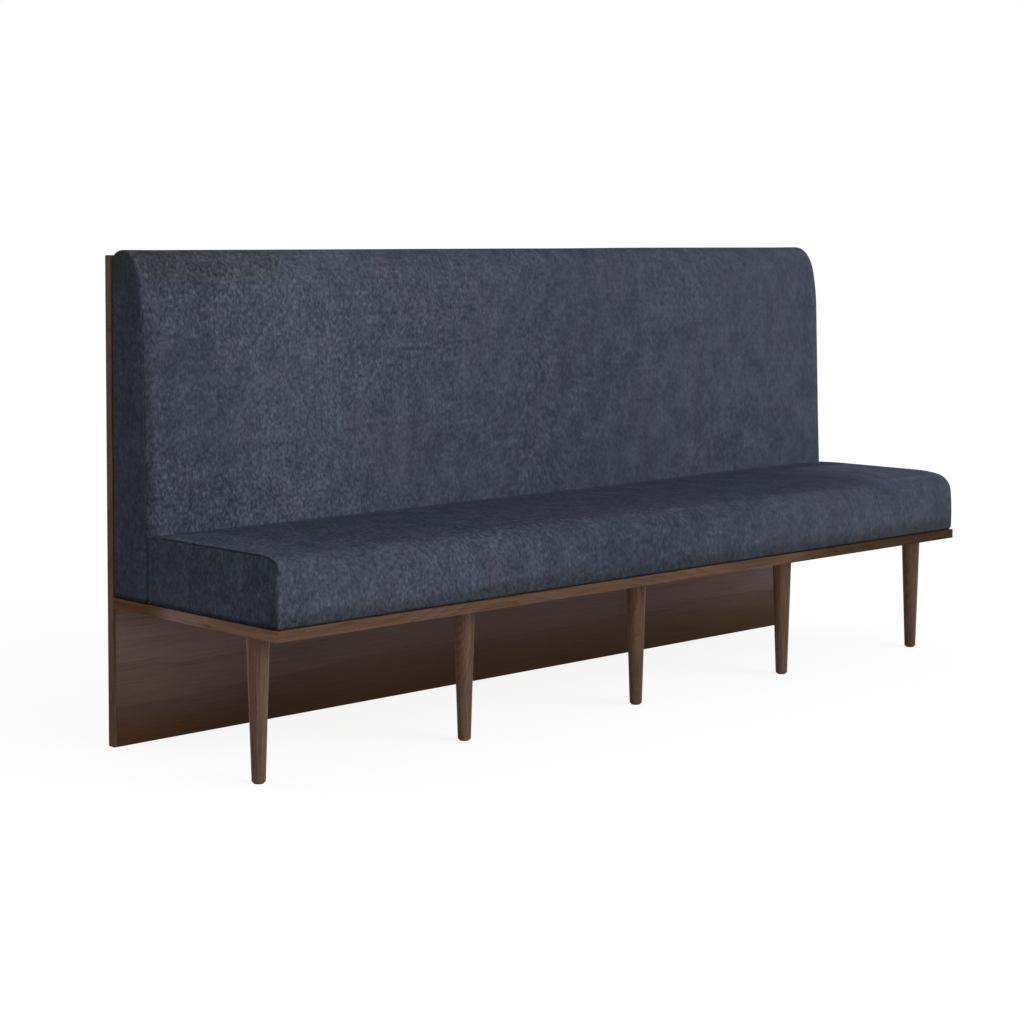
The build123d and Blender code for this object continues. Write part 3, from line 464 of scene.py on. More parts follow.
def pressed_cloth(part, fine_rows):
    """Moves of a cushion's cloth, from a cloth simulation on a coarse copy that starts drawn in. The
    foam is a pull of every point back to its start, uneven by gentle seeded waves. It is cut to suit
    the cloth, so most of the move that is alike along the whole length is taken off again."""
    points, rows = cushion_grid(part, fine=False)
    points, from_x = points[::2, ::2], rows[::2, 0]
    free = looseness(points, part)
    way, _ = toward_spine(points[..., 1:] * (-1, 1), FORMS[part][1])
    start = points.copy()
    start[..., 1:] += way * (-1, 1) * DRAWN_IN * free[..., None]
    drift = uneven_support(points[..., 0], points[..., 1] - points[..., 2], WAVE_SEEDS[part])
    weight = np.clip(mix(1.0, SUPPORT + drift, free), 0, 1)
    moved = simulated(part, start, weight) - start
    far = np.linalg.norm(moved, axis=-1, keepdims=True)
    moved *= np.minimum(1, MOST_MOVE / np.maximum(far, TINY)) * (free[..., None] > 0)
    moved += start - points
    inboard = smooth_step(SEAM_X - np.abs(from_x), 0.0, HELD_AT_SEAM)
    moved -= (1 - MEAN_KEPT) * inboard[:, None, None] * moved[inboard >= 1].mean(0)
    return spread_moves(moved, from_x, fine_rows[:, 0])


# Shader nodes

def node(tree, kind, sockets=None, **settings):
    """Adds a shader node, with its settings and its input sockets, each a value or another socket."""
    made = tree.nodes.new("ShaderNode" + kind)
    for key, value in settings.items():
        setattr(made, key, value)
    for socket, value in (sockets or {}).items():
        if isinstance(value, bpy.types.NodeSocket):
            tree.links.new(value, made.inputs[socket])
        else:
            made.inputs[socket].default_value = value
    return made


def group(name, inputs, outputs):
    """New shader node group with named inputs, each with a start value, and named outputs."""
    tree = bpy.data.node_groups.new(name, "ShaderNodeTree")
    kinds = {float: "NodeSocketFloat", tuple: "NodeSocketColor"}
    for label, value in inputs.items():
        kind = "NodeSocketVector" if value is None else kinds[type(value)]
        made = tree.interface.new_socket(label, in_out="INPUT", socket_type=kind)
        if value is not None:
            made.default_value = value
    for label, kind in outputs.items():
        tree.interface.new_socket(label, in_out="OUTPUT", socket_type="NodeSocket" + kind)
    return tree, tree.nodes.new("NodeGroupInput").outputs, tree.nodes.new("NodeGroupOutput").inputs


def object_place(tree):
    """Place on the object."""
    return node(tree, "TexCoord").outputs["Object"]


def figures(tree, operation, a, b=0.0, c=0.0):
    """Result of a Math node."""
    return node(tree, "Math", {0: a, 1: b, 2: c}, operation=operation).outputs[0]


def times(tree, a, b):
    """Product of two values."""
    return figures(tree, "MULTIPLY", a, b)


def plus(tree, a, b):
    """Sum of two values."""
    return figures(tree, "ADD", a, b)


def swing(tree, value, strength=1.0):
    """Value less a half, times a strength, so that a noise swings about zero."""
    return figures(tree, "MULTIPLY_ADD", value, strength, -strength / 2)


def stretched(tree, vector, scale):
    """Vector times a scale along each axis."""
    return node(tree, "VectorMath", {0: vector, 1: scale}, operation="MULTIPLY").outputs[0]


def noise(tree, vector, scale, detail, roughness, output="Fac"):
    """Value of a noise texture, around a half, or its colour."""
    sockets = {"Vector": vector, "Scale": scale, "Detail": detail, "Roughness": roughness}
    return node(tree, "TexNoise", sockets).outputs[output]


def waves(tree, place, per_metre, detail, roughness, output="Fac"):
    """Noise of about so many waves a metre along each axis."""
    return noise(tree, stretched(tree, place, per_metre), 1.0, detail, roughness, output)


def span(tree, value, low, high, to_low, to_high):
    """Value carried from one range to another, kept inside the second."""
    sockets = {"Value": value, "From Min": low, "From Max": high, "To Min": to_low, "To Max": to_high}
    return node(tree, "MapRange", sockets).outputs[0]


def soft(tree, value, start, full):
    """Smooth step from zero at the start to one where it is full."""
    sockets = {"Value": value, "From Min": start, "From Max": full, "To Min": 0.0, "To Max": 1.0}
    return node(tree, "MapRange", sockets, interpolation_type="SMOOTHSTEP").outputs[0]


def blend_colour(tree, factor, a, b, kind="MIX"):
    """Two colours mixed by a factor. The colour sockets of the node are its seventh and eighth."""
    return node(tree, "Mix", {0: factor, 6: a, 7: b}, data_type="RGBA", blend_type=kind).outputs[2]


# Shared effects, each a node group

# Chenille: waves a metre along the two directions of the cloth's chart, detail and roughness
SLUB = ((165.0, 105.0, 1.0), 2.0, 0.55)
TUFT = ((75.0, 52.0, 1.0), 1.0, 0.5)
PILE = ((520.0, 330.0, 1.0), 2.0, 0.6)
CLOUD = ((20.0, 13.0, 1.0), 3.0, 0.55)
CRUSH = ((2.6, 3.2, 1.0), 2.0, 0.5)
HUE = ((5.5, 4.0, 1.0), 2.0, 0.5)
TUFT_STRENGTH = 0.55
PILE_STRENGTH = 0.5
CRUSH_SPAN = (0.35, 0.65, 0.75, 1.25)
SLUB_HEIGHT, PILE_HEIGHT = 0.6, 0.4

# Walnut: waves a metre along the grain and the two ways across it, detail and roughness
SLOW = ((0.9, 2.0, 2.0), 2.0, 0.5)
WOBBLE = ((3.0, 26.0, 26.0), 3.0, 0.6)
STREAK = ((5.0, 330.0, 330.0), 4.0, 0.62)
FIBRE = ((26.0, 1500.0, 1500.0), 2.0, 0.55)
PORE = ((70.0, 2300.0, 2300.0), 1.0, 0.5)
DRIFT = ((1.3, 5.0, 5.0), 3.0, 0.55)
HEART_WANDER = 0.5
FIBRE_STRENGTH = 0.4
WOBBLE_TURNS = 2.2
RING_POWER = 2.5
RING_DARKENS = -0.22
PORE_SPAN = (0.60, 0.72, 0.0, 1.0)

# Plain stuffs: how rough the mottle's noise is, its span, and the shares that make it dull and bright
MOTTLE_ROUGHNESS = 0.6
MOTTLE = (0.3, 0.7)
DULL_SHARE, BRIGHT_SHARE = 1.15, 0.85

LIMITS = ("First", "Second", "Third", "Fourth")


def make_group_yarns():
    """Chenille yarns on the cloth's own chart: short slubs, tufts, fine pile, clouds of tone, and
    patches where the pile is crushed and the slubs stand out more. The tone is e to their sum."""
    inputs = {"Chart": None, "Slub": 0.5, "Cloud": 0.5, "Relief": 1.0}
    tree, given, out = group("Chenille yarns", inputs, {"Tone": "Float", "Height": "Float", "Hue": "Color"})
    chart, relief = given["Chart"], given["Relief"]
    slub, tuft, pile, cloud, patch = (waves(tree, chart, *kind) for kind in (SLUB, TUFT, PILE, CLOUD, CRUSH))
    total = times(tree, swing(tree, slub), times(tree, given["Slub"], relief))
    tufts = figures(tree, "MULTIPLY_ADD", relief, TUFT_STRENGTH, TUFT_STRENGTH)
    total = plus(tree, total, times(tree, swing(tree, tuft), tufts))
    piles = times(tree, times(tree, relief, relief), PILE_STRENGTH)
    total = plus(tree, total, times(tree, swing(tree, pile), piles))
    total = times(tree, total, span(tree, patch, *CRUSH_SPAN))
    total = plus(tree, total, times(tree, swing(tree, cloud), given["Cloud"]))
    tree.links.new(figures(tree, "POWER", math.e, total), out["Tone"])
    height = plus(tree, times(tree, slub, SLUB_HEIGHT), times(tree, pile, PILE_HEIGHT))
    tree.links.new(height, out["Height"])
    tree.links.new(waves(tree, chart, *HUE, "Color"), out["Hue"])
    return tree


def make_group_figure():
    """Walnut figure with the grain along the first axis: growth rings round a wandering heart, fine
    streaks, short dark pores and slow drifts of tone."""
    inputs = {"Place": None, "Rings": 60.0, "Heart": 0.35, "Fine": 1.0, "Wander": 1.0}
    tree, given, out = group("Walnut figure", inputs, {"Tone": "Float", "Pores": "Float", "Drift": "Float"})
    place = given["Place"]
    split = node(tree, "SeparateXYZ", {0: place}).outputs
    wander = times(tree, swing(tree, waves(tree, place, *SLOW), HEART_WANDER), given["Wander"])
    across = plus(tree, split[Z], wander)
    deep = plus(tree, split[Y], given["Heart"])
    radius = figures(tree, "SQRT", plus(tree, times(tree, across, across), times(tree, deep, deep)))
    wobble = times(tree, waves(tree, place, *WOBBLE), times(tree, given["Wander"], WOBBLE_TURNS))
    turns = figures(tree, "MULTIPLY_ADD", radius, given["Rings"], wobble)
    ring = figures(tree, "POWER", figures(tree, "FRACT", turns), RING_POWER)
    streak = swing(tree, waves(tree, place, *STREAK))
    fine = plus(tree, streak, swing(tree, waves(tree, place, *FIBRE), FIBRE_STRENGTH))
    fine = figures(tree, "MULTIPLY_ADD", ring, RING_DARKENS, fine)
    tree.links.new(figures(tree, "MULTIPLY_ADD", fine, given["Fine"], 0.5), out["Tone"])
    tree.links.new(span(tree, waves(tree, place, *PORE), *PORE_SPAN), out["Pores"])
    tree.links.new(waves(tree, place, *DRIFT), out["Drift"])
    return tree


def make_group_mottle():
    """Fine mottle of plain stuff: its tone runs from the dark colour to the light one, and its
    roughness from a little duller than the given one to a little brighter."""
    inputs = {"Place": None, "Scale": 500.0, "Detail": 3.0, "Dark": (0.0, 0.0, 0.0, 1.0),
              "Light": (1.0, 1.0, 1.0, 1.0), "Roughness": 0.5}
    outputs = {"Tone": "Float", "Colour": "Color", "Roughness": "Float"}
    tree, given, out = group("Mottle", inputs, outputs)
    tone = noise(tree, given["Place"], given["Scale"], given["Detail"], MOTTLE_ROUGHNESS)
    tree.links.new(tone, out["Tone"])
    share = span(tree, tone, *MOTTLE, 0.0, 1.0)
    tree.links.new(blend_colour(tree, share, given["Dark"], given["Light"]), out["Colour"])
    dull, bright = (times(tree, given["Roughness"], part) for part in (DULL_SHARE, BRIGHT_SHARE))
    tree.links.new(span(tree, tone, *MOTTLE, dull, bright), out["Roughness"])
    return tree


def make_group_tint():
    """Colour times a tint where four values lie past their limits: each sets in as a smooth step from
    its start to its full limit, and the product of the steps is the share of the tint. A value that is
    left alone lies past its limit everywhere."""
    inputs = {"Colour": (1.0, 1.0, 1.0, 1.0), "Tint": (1.0, 1.0, 1.0, 1.0)}
    for name in LIMITS:
        inputs.update({name: 1.0, name + " start": 0.0, name + " full": 0.5})
    tree, given, out = group("Local tint", inputs, {"Tinted": "Color"})
    share = 1.0
    for name in LIMITS:
        share = times(tree, share, soft(tree, given[name], given[name + " start"], given[name + " full"]))
    tree.links.new(blend_colour(tree, share, given["Colour"], given["Tint"], "MULTIPLY"), out["Tinted"])
    return tree


YARNS = make_group_yarns()
FIGURE = make_group_figure()
MOTTLED = make_group_mottle()
TINT = make_group_tint()


# Materials

def start_material(name, **sockets):
    """Material with a Principled shader, whose even values are set on its own sockets."""
    made = bpy.data.materials.new(name)
    made.use_nodes = True
    shader = made.node_tree.nodes["Principled BSDF"]
    for label, value in sockets.items():
        shader.inputs[label.replace("_", " ")].default_value = value
    return made, made.node_tree, shader


def tinted(tree, colour, tints):
    """Colour after each local tint in turn. A tint is its colour and then one to four limits, each an
    axis with the place where the tint sets in and the place where it is full. The fourth axis is the
    distance along X from the nearest leg's centre line."""
    axes = list(node(tree, "SeparateXYZ", {0: object_place(tree)}).outputs)
    if any(edge[0] == FROM_LEG for _, *edges in tints for edge in edges):
        axes.append(figures(tree, "WRAP", axes[X], LEG_PITCH / 2, -LEG_PITCH / 2))
    for tint, *edges in tints:
        sockets = {"Tint": (*tint, 1.0), "Colour": colour}
        for name, (axis, start, full) in zip(LIMITS, edges):
            sockets.update({name: axes[axis], name + " start": start, name + " full": full})
        colour = node(tree, "Group", sockets, node_tree=TINT).outputs["Tinted"]
    return colour


def bumped(tree, shader, height, strength, distance):
    """Feeds a height to the shader's normal through a Bump node."""
    sockets = {"Height": height, "Strength": strength, "Distance": distance}
    tree.links.new(node(tree, "Bump", sockets).outputs[0], shader.inputs["Normal"])


def grey(tone):
    """Tint of one tone."""
    return (tone, tone, tone)


def toned(colour, shares):
    """Colour with each channel times its share."""
    return (*(channel * share for channel, share in zip(colour, shares)), 1.0)


# Chenille: its base colour, and the colours that it drifts to with the span of each drift
SLATE = (0.0625, 0.0700, 0.0975, 1.0)
PLUM = (0.0675, 0.0690, 0.0975, 1.0)
TEAL = (0.0585, 0.0725, 0.0965, 1.0)
ASH = (0.0645, 0.0705, 0.0920, 1.0)
HUE_DRIFTS = ((PLUM, (0.48, 0.66, 0.0, 0.8)), (TEAL, (0.52, 0.68, 0.0, 0.8)), (ASH, (0.55, 0.70, 0.0, 0.6)))
SLUB_STRENGTH = 2.6
CLOUD_STRENGTH = 0.92
RELIEF_AT_LEFT, RELIEF_AT_RIGHT = 0.85, 0.20
RELIEF_ON_END = 0.6
SEAM_FADE = 0.0006
PILE_BUMP, PILE_DEPTH = 0.35, 0.0012

# Walnut: shares that turn its dark colour to its red drifts and to its pores, and its relief
RED_SHARES = (1.35, 0.95, 0.85)
PORE_SHARES = (0.45, 0.42, 0.40)
PORE_STRENGTH = 0.7
DRIFT_STRENGTH = 0.7
GRAIN_HEIGHT = 0.3
TONE_SPAN = (0.15, 0.75, 0.0, 1.0)
RED_SPAN = (0.55, 0.75, 0.0, 0.35)
ROUGH_SPAN = (0.2, 0.8, 0.56, 0.44)
GRAIN_BUMP, GRAIN_DEPTH = 0.25, 0.0002

# Plain stuffs: the strength of their relief
MOTTLE_BUMP = 0.4


def fabric_material(tints):
    """Slate blue chenille: mottled yarns, faint drifts to plum, teal and grey, a soft pile, and tints, some
    of which are painted light and shade.
    """
    made, tree, shader = start_material("slate_chenille", Roughness=1.0, Specular_IOR_Level=0.03)
    along = node(tree, "SeparateXYZ", {0: object_place(tree)}).outputs[X]
    relief = span(tree, along, -SEAM_X, SEAM_X, RELIEF_AT_LEFT, RELIEF_AT_RIGHT)
    relief = times(tree, relief, span(tree, along, -SEAM_X - SEAM_FADE, -SEAM_X, RELIEF_ON_END, 1.0))
    chart = node(tree, "UVMap", uv_map="cloth").outputs[0]
    sockets = {"Chart": chart, "Slub": SLUB_STRENGTH, "Cloud": CLOUD_STRENGTH, "Relief": relief}
    yarns = node(tree, "Group", sockets, node_tree=YARNS).outputs
    colour = SLATE
    for hue, (other, reach) in zip(node(tree, "SeparateColor", {0: yarns["Hue"]}).outputs, HUE_DRIFTS):
        colour = blend_colour(tree, span(tree, hue, *reach), colour, other)
    tone = node(tree, "CombineColor", {channel: yarns["Tone"] for channel in range(3)}).outputs[0]
    colour = blend_colour(tree, 1.0, colour, tone, "MULTIPLY")
    tree.links.new(tinted(tree, colour, tints), shader.inputs["Base Color"])
    bumped(tree, shader, yarns["Height"], PILE_BUMP, PILE_DEPTH)
    return made


def walnut_material(name, turn, dark, light, rings=60.0, heart=0.35, fine=1.0, wander=1.0, tints=()):
    """Oiled walnut, with tints that paint light and shade on some boards. Turn brings the grain's direction
    onto the first axis, in degrees.
    """
    made, tree, shader = start_material(name, Specular_IOR_Level=0.06)
    turned_by = tuple(math.radians(angle) for angle in turn)
    place = node(tree, "Mapping", {"Vector": object_place(tree), "Rotation": turned_by}).outputs[0]
    sockets = {"Place": place, "Rings": rings, "Heart": heart, "Fine": fine, "Wander": wander}
    figure = node(tree, "Group", sockets, node_tree=FIGURE).outputs
    tone = plus(tree, figure["Tone"], swing(tree, figure["Drift"], DRIFT_STRENGTH))
    colour = blend_colour(tree, span(tree, tone, *TONE_SPAN), (*dark, 1.0), (*light, 1.0))
    colour = blend_colour(tree, span(tree, figure["Drift"], *RED_SPAN), colour, toned(dark, RED_SHARES))
    pores = times(tree, figure["Pores"], PORE_STRENGTH * fine)
    colour = blend_colour(tree, pores, colour, toned(dark, PORE_SHARES))
    tree.links.new(tinted(tree, colour, tints), shader.inputs["Base Color"])
    tree.links.new(span(tree, figure["Tone"], *ROUGH_SPAN), shader.inputs["Roughness"])
    height = figures(tree, "SUBTRACT", times(tree, figure["Tone"], GRAIN_HEIGHT), figure["Pores"])
    bumped(tree, shader, height, GRAIN_BUMP, GRAIN_DEPTH)
    return made


def speckled_material(name, dark, light, scale, detail, relief, roughness, metal, stretch):
    """Plain stuff with a fine mottled tone: foam, fleece, webbing, lining, nylon or metal."""
    made, tree, shader = start_material(name, Metallic=metal)
    sockets = {"Place": stretched(tree, object_place(tree), stretch), "Scale": scale, "Detail": detail,
               "Dark": (*dark, 1.0), "Light": (*light, 1.0), "Roughness": roughness}
    mottle = node(tree, "Group", sockets, node_tree=MOTTLED).outputs
    tree.links.new(mottle["Colour"], shader.inputs["Base Color"])
    tree.links.new(mottle["Roughness"], shader.inputs["Roughness"])
    bumped(tree, shader, mottle["Tone"], MOTTLE_BUMP, relief)
    return made


# Where the cloth and the wood are painted paler or darker than elsewhere, on a part of the seat or along
# a board. The rows noted as painted light or painted shade stand in for light and shade; the others only make
# a stretch paler or darker

ON_BACK, ON_SEAT = (Y, 0.08, 0.14), (Y, 0.14, 0.08)
ON_FRONT = (Y, SEAT_LOW[Y] + 0.05, SEAT_LOW[Y] + 0.01)
ON_TOP = (Z, SEAT_HIGH[Z] - 0.014, SEAT_HIGH[Z] - 0.003)
ON_LEFT_END = (X, -SEAM_X + 0.002, -SEAM_X)
INSIDE_LIP, INSIDE_EDGE = (X, -SEAM_X - 0.002, -SEAM_X), (X, -SEAM_X - 0.001, -SEAM_X)
CLOTH_LIGHT_SHADE_AND_TONE = (
    # Painted shade: both end panels darker
    (grey(0.85), (X, -SEAM_X, -SEAM_X - SEAM_FADE)),
    (grey(0.93), (X, SEAM_X, SEAM_X + SEAM_FADE)),
    # Painted shade: dark lines beside the left seams of the seat top and the back, and along the foot of the
    # left end above the deck
    (grey(0.40), (X, -SEAM_X + 0.008, -SEAM_X + 0.003), INSIDE_LIP, (Z, 0.436, 0.450), ON_SEAT),
    (grey(0.66), (X, -SEAM_X + 0.026, -SEAM_X + 0.008), INSIDE_EDGE, (Z, 1.02, 0.80), ON_BACK),
    (grey(0.45), (Z, DECK_TOP + 0.014, DECK_TOP + 0.005), ON_LEFT_END),
    ((0.93, 0.87, 0.76), (Z, 0.98, 1.04), (X, -0.66, -0.82), ON_BACK),
    # Painted shade: the seat top darker
    ((0.82, 0.82, 0.86), ON_TOP, ON_SEAT),
    # Painted shade: the foot of the seat front darker above the deck
    ((0.70, 0.69, 0.62), (Z, DECK_TOP + 0.045, DECK_TOP + 0.012), ON_FRONT),
    ((0.78, 0.84, 0.83), (X, -0.70, -0.10), ON_FRONT),
    ((1.27, 1.18, 1.17), (X, -0.05, 0.60), ON_FRONT),
    (grey(0.95), (X, -1.00, -1.08), ON_FRONT),
    (grey(1.30), (X, -0.92, -1.08), ON_TOP, ON_SEAT),
    # Painted light: a pool of light on the right end of the seat top, in front of the back
    (grey(1.70), (X, 0.72, 1.00), ON_TOP, (Y, 0.09, 0.00)),
    (grey(1.14), (X, -0.35, -0.70), ON_BACK),
    (grey(0.78), (X, -0.75, -1.02), ON_BACK),
    (grey(0.92), (X, -0.15, 0.15), ON_BACK),
    (grey(1.10), (X, 0.20, 0.60), ON_BACK),
)
ON_PANEL = (Y, PANEL_FRONT + 0.0008, PANEL_FRONT + 0.0002)
PANEL_LIGHT_SHADE_AND_TONE = (
    # Painted reflection and painted light: the front of the panel paler and bluer below the deck, against the
    # deck's shade
    ((2.20, 2.76, 3.66), (Z, 0.31, 0.30), ON_PANEL),
    # Painted shade: the front of the panel darker and redder towards the floor
    ((0.250, 0.160, 0.050), (Z, 0.27, 0.00), ON_PANEL),
    ((1.36, 1.27, 1.20), (X, -0.70, -1.12), ON_PANEL),
    ((1.15, 1.20, 1.55), (Z, 0.14, 0.05), (X, -0.70, -0.85), ON_PANEL),
    ((1.24, 1.26, 1.36), (X, 0.50, 0.95), ON_PANEL),
)
FRONT_RAIL_TINTS = (
    ((0.57, 0.46, 0.35), (X, 0.42, 0.62)),
    ((0.70, 0.62, 0.48), (X, 0.65, 1.08)),
)
SIDE_RAIL_PAINTED_LIGHT_AND_SHADE = (
    # Painted light and shade on the side rails: paler towards the front, paler and bluer in the middle,
    # darker and redder towards the panel
    ((1.84, 1.75, 1.62), (Y, 0.16, 0.05)),
    ((1.38, 1.66, 2.28), (Y, -0.09, -0.02), (Y, 0.13, 0.05)),
    ((1.11, 0.73, 0.39), (Y, 0.10, 0.18)),
)
BEHIND_LEG = (Y, LEG_LINE, LEG_LINE + 0.014)
BEFORE_LEG = (Y, LEG_LINE + 0.010, LEG_LINE)
RIGHT_OF_LEG = (FROM_LEG, -0.004, 0.014)
LEG_PAINTED_LIGHT_AND_SHADE = (
    # Painted light and shade on the legs, evening out the key light's shading: paler rear halves, darker
    # right sides, paler legs on the right, and a darker front on the leftmost leg
    (grey(1.16), BEHIND_LEG),
    (grey(1.55), BEHIND_LEG, (X, 0.30, 0.25)),
    (grey(1.15), (X, 0.30, 0.35)),
    (grey(0.88), (X, -0.30, -0.35), RIGHT_OF_LEG),
    (grey(0.78), BEFORE_LEG, (X, -0.80, -0.90)),
    (grey(0.58), RIGHT_OF_LEG),
)
ALONG_X, ALONG_Y, ALONG_Z = (0, 0, 0), (0, 0, 90), (0, 90, 0)
WALNUT = (0.0600, 0.0330, 0.0185), (0.1450, 0.0880, 0.0550)
PANEL_WALNUT = (0.0370, 0.0200, 0.0125), (0.0980, 0.0580, 0.0390)
UPRIGHT_WALNUT = (0.0700, 0.0400, 0.0230), (0.1650, 0.1030, 0.0660)
# The legs' walnut is painted lighter than the rails' walnut: painted light against the shade on the legs
LEG_WALNUT_PAINTED_LIGHTER = (0.1110, 0.0650, 0.0420), (0.2420, 0.1510, 0.1030)
FINISH = {
    "fabric": fabric_material(CLOTH_LIGHT_SHADE_AND_TONE),
    "veneer": walnut_material("walnut_veneer", ALONG_X, *PANEL_WALNUT, rings=42.0, heart=0.08,
                              fine=0.5, wander=0.25, tints=PANEL_LIGHT_SHADE_AND_TONE),
    "strip_x": walnut_material("walnut_long", ALONG_X, *WALNUT),
    "rail_x": walnut_material("walnut_front", ALONG_X, *WALNUT, tints=FRONT_RAIL_TINTS),
    "rail_y": walnut_material("walnut_side", ALONG_Y, *WALNUT, tints=SIDE_RAIL_PAINTED_LIGHT_AND_SHADE),
    "strip_z": walnut_material("walnut_upright", ALONG_Z, *UPRIGHT_WALNUT),
    "leg": walnut_material("walnut_leg", ALONG_Z, *LEG_WALNUT_PAINTED_LIGHTER, rings=150.0, heart=0.12, tints=LEG_PAINTED_LIGHT_AND_SHADE),
}

# Plain stuffs: dark and light colour, scale and detail of the mottle, relief, roughness, metal, stretch
EVEN, FIBROUS, DRAWN = (1.0, 1.0, 1.0), (0.12, 1.0, 1.0), (0.05, 1.0, 1.0)
STUFFS = {
    "hardwood": ("frame_hardwood", (0.42, 0.28, 0.16), (0.60, 0.43, 0.27), 60.0, 5.0,
                 3e-4, 0.60, 0.0, FIBROUS),
    "foam": ("cushion_foam", (0.62, 0.55, 0.38), (0.78, 0.72, 0.55), 700.0, 3.0, 6e-4, 0.95, 0.0, EVEN),
    "wrap": ("polyester_wrap", (0.70, 0.70, 0.68), (0.86, 0.86, 0.84), 220.0, 5.0, 1e-3, 0.95, 0.0, EVEN),
    "webbing": ("elastic_webbing", (0.012, 0.012, 0.013), (0.045, 0.045, 0.048), 900.0, 2.0,
                3e-4, 0.80, 0.0, EVEN),
    "lining": ("black_lining", (0.008, 0.008, 0.009), (0.022, 0.022, 0.024), 1100.0, 4.0,
               2e-4, 0.90, 0.0, EVEN),
    "zinc": ("zinc_steel", (0.42, 0.43, 0.45), (0.62, 0.63, 0.66), 240.0, 5.0, 5e-5, 0.34, 1.0, EVEN),
    "aluminium": ("clip_aluminium", (0.55, 0.56, 0.57), (0.72, 0.72, 0.74), 90.0, 4.0,
                  5e-5, 0.30, 1.0, DRAWN),
    "nylon": ("nylon_glide", (0.018, 0.016, 0.015), (0.034, 0.031, 0.029), 420.0, 3.0, 8e-5, 0.55, 0.0, EVEN),
}
for key, stuff in STUFFS.items():
    FINISH[key] = speckled_material(*stuff)


# Cushions

WRAP_INSET = 0.0040
FOAM_INSET = 0.0101


def padded(made, slot, finish, nodes):
    finish_piece(made, FINISH[finish], slot, *nodes)


def cushion(part):
    """Cover of a cushion, pressed by its foam, with its sewn seams and one subdivision."""
    points, rows = cushion_grid(part)
    moves = pressed_cloth(part, rows)
    made = make_mesh(part + "_cushion", points + moves, grid_faces(*points.shape[:2]))
    cloth_chart(made, points, rows)
    rounding = made.modifiers.new("rounding", "SUBSURF")
    rounding.levels = rounding.render_levels = 1
    rounding.uv_smooth = "NONE"
    covers = [part + cover for cover in ("_cover", "_cover_end_left", "_cover_end_right")]
    padded(made, "booth_fabric", "fabric", covers)


def layer_inside(part, name, slot, finish, inset):
    """Softer layer of a cushion, an even inset inside its cover."""
    made = make_grids(part + name, [cushion_grid(part, inset, fine=False)[0]])
    padded(made, slot, finish, [part + "_" + finish])


for part in FORMS:
    cushion(part)
    layer_inside(part, "_wrap_layer", "polyester_wrap", "wrap", WRAP_INSET)
    layer_inside(part, "_foam_block", "cushion_foam", "foam", FOAM_INSET)


# Straps and screws, placed by the solids that they stand for

CORNER_DIGITS = 5


def solids(cad_node):
    """Lowest and highest corner of each separate solid of a CAD node, found by spreading the lowest
    corner number over the triangles that share corners until nothing changes."""
    mesh = NODES[cad_node].data
    places = numbers(mesh.vertices, "co", 3)
    mesh.calc_loop_triangles()
    _, same = np.unique(np.round(places, CORNER_DIGITS), axis=0, return_inverse=True)
    same = same.ravel()
    triangles = same[numbers(mesh.loop_triangles, "vertices", 3, int)]
    label = np.arange(same.max() + 1)
    before = None
    while before is None or (label != before).any():
        before = label.copy()
        for corner in range(3):
            np.minimum.at(label, triangles[:, corner], before[triangles].min(1))
    groups = label[same]
    return [(places[groups == g].min(0), places[groups == g].max(0)) for g in np.unique(groups)]


STRAP_SAG = 0.004
STRAP_RIB = 0.00025
STRAP_RIBS = 5
STRAP_ROWS, STRAP_COLUMNS = 41, 13
STRAP_EDGE_POWER = 8
STRAP_EDGE_SHARE = 0.02


def strap(low, high, along, across, face, way):
    """Elastic strap between two rails: a ribbed band whose half thickness is the root of 1 - s^8 over
    its width, and whose distance below the rails is a parabola of its length."""
    run, side = np.linspace(0, 1, STRAP_ROWS), np.linspace(-1, 1, STRAP_COLUMNS)
    middle, size = (low + high) / 2, high - low
    edge = np.clip(1 - np.abs(side) ** STRAP_EDGE_POWER, STRAP_EDGE_SHARE, 1)
    half = size[face] / 2 * np.sqrt(edge)
    rib = STRAP_RIB * np.cos(side * STRAP_RIBS * math.pi)
    around = np.concatenate([side, side[::-1]])
    shell = np.concatenate([half + rib - STRAP_RIB, (-half)[::-1]])
    sag = way * STRAP_SAG * 4 * run * (1 - run)
    band = np.empty((len(run), len(around), 3))
    band[..., along] = mix(low[along], high[along], run)[:, None]
    band[..., across] = middle[across] + size[across] / 2 * around
    band[..., face] = middle[face] + shell - sag[:, None]
    return band


SCREW_SIDES = 40
RECESS_ARM = 0.62
RECESS_WIDTH = 0.15
RECESS_DEPTH = 0.0016
RECESS_RINGS = ((0.35, 1.0), (0.8, 0.8))
RECESS_RIM_SHARE = 0.25
PAN_SHARE = 0.3
PAN_SHARES = (0.72, 0.86, 0.95, 1.0)
PAN_FULL = 0.7
PAN_FALL = 7.2
PAN_POWER = 1.5
PAN_RIM_SHARE, FLAT_RIM_SHARE = 0.95, 0.15
THREAD_TURNS = 7
THREAD_ROOT = 0.86
THREAD_SHARE = 0.9
THREAD_START = 0.0002
POINT_SHARE = 0.1


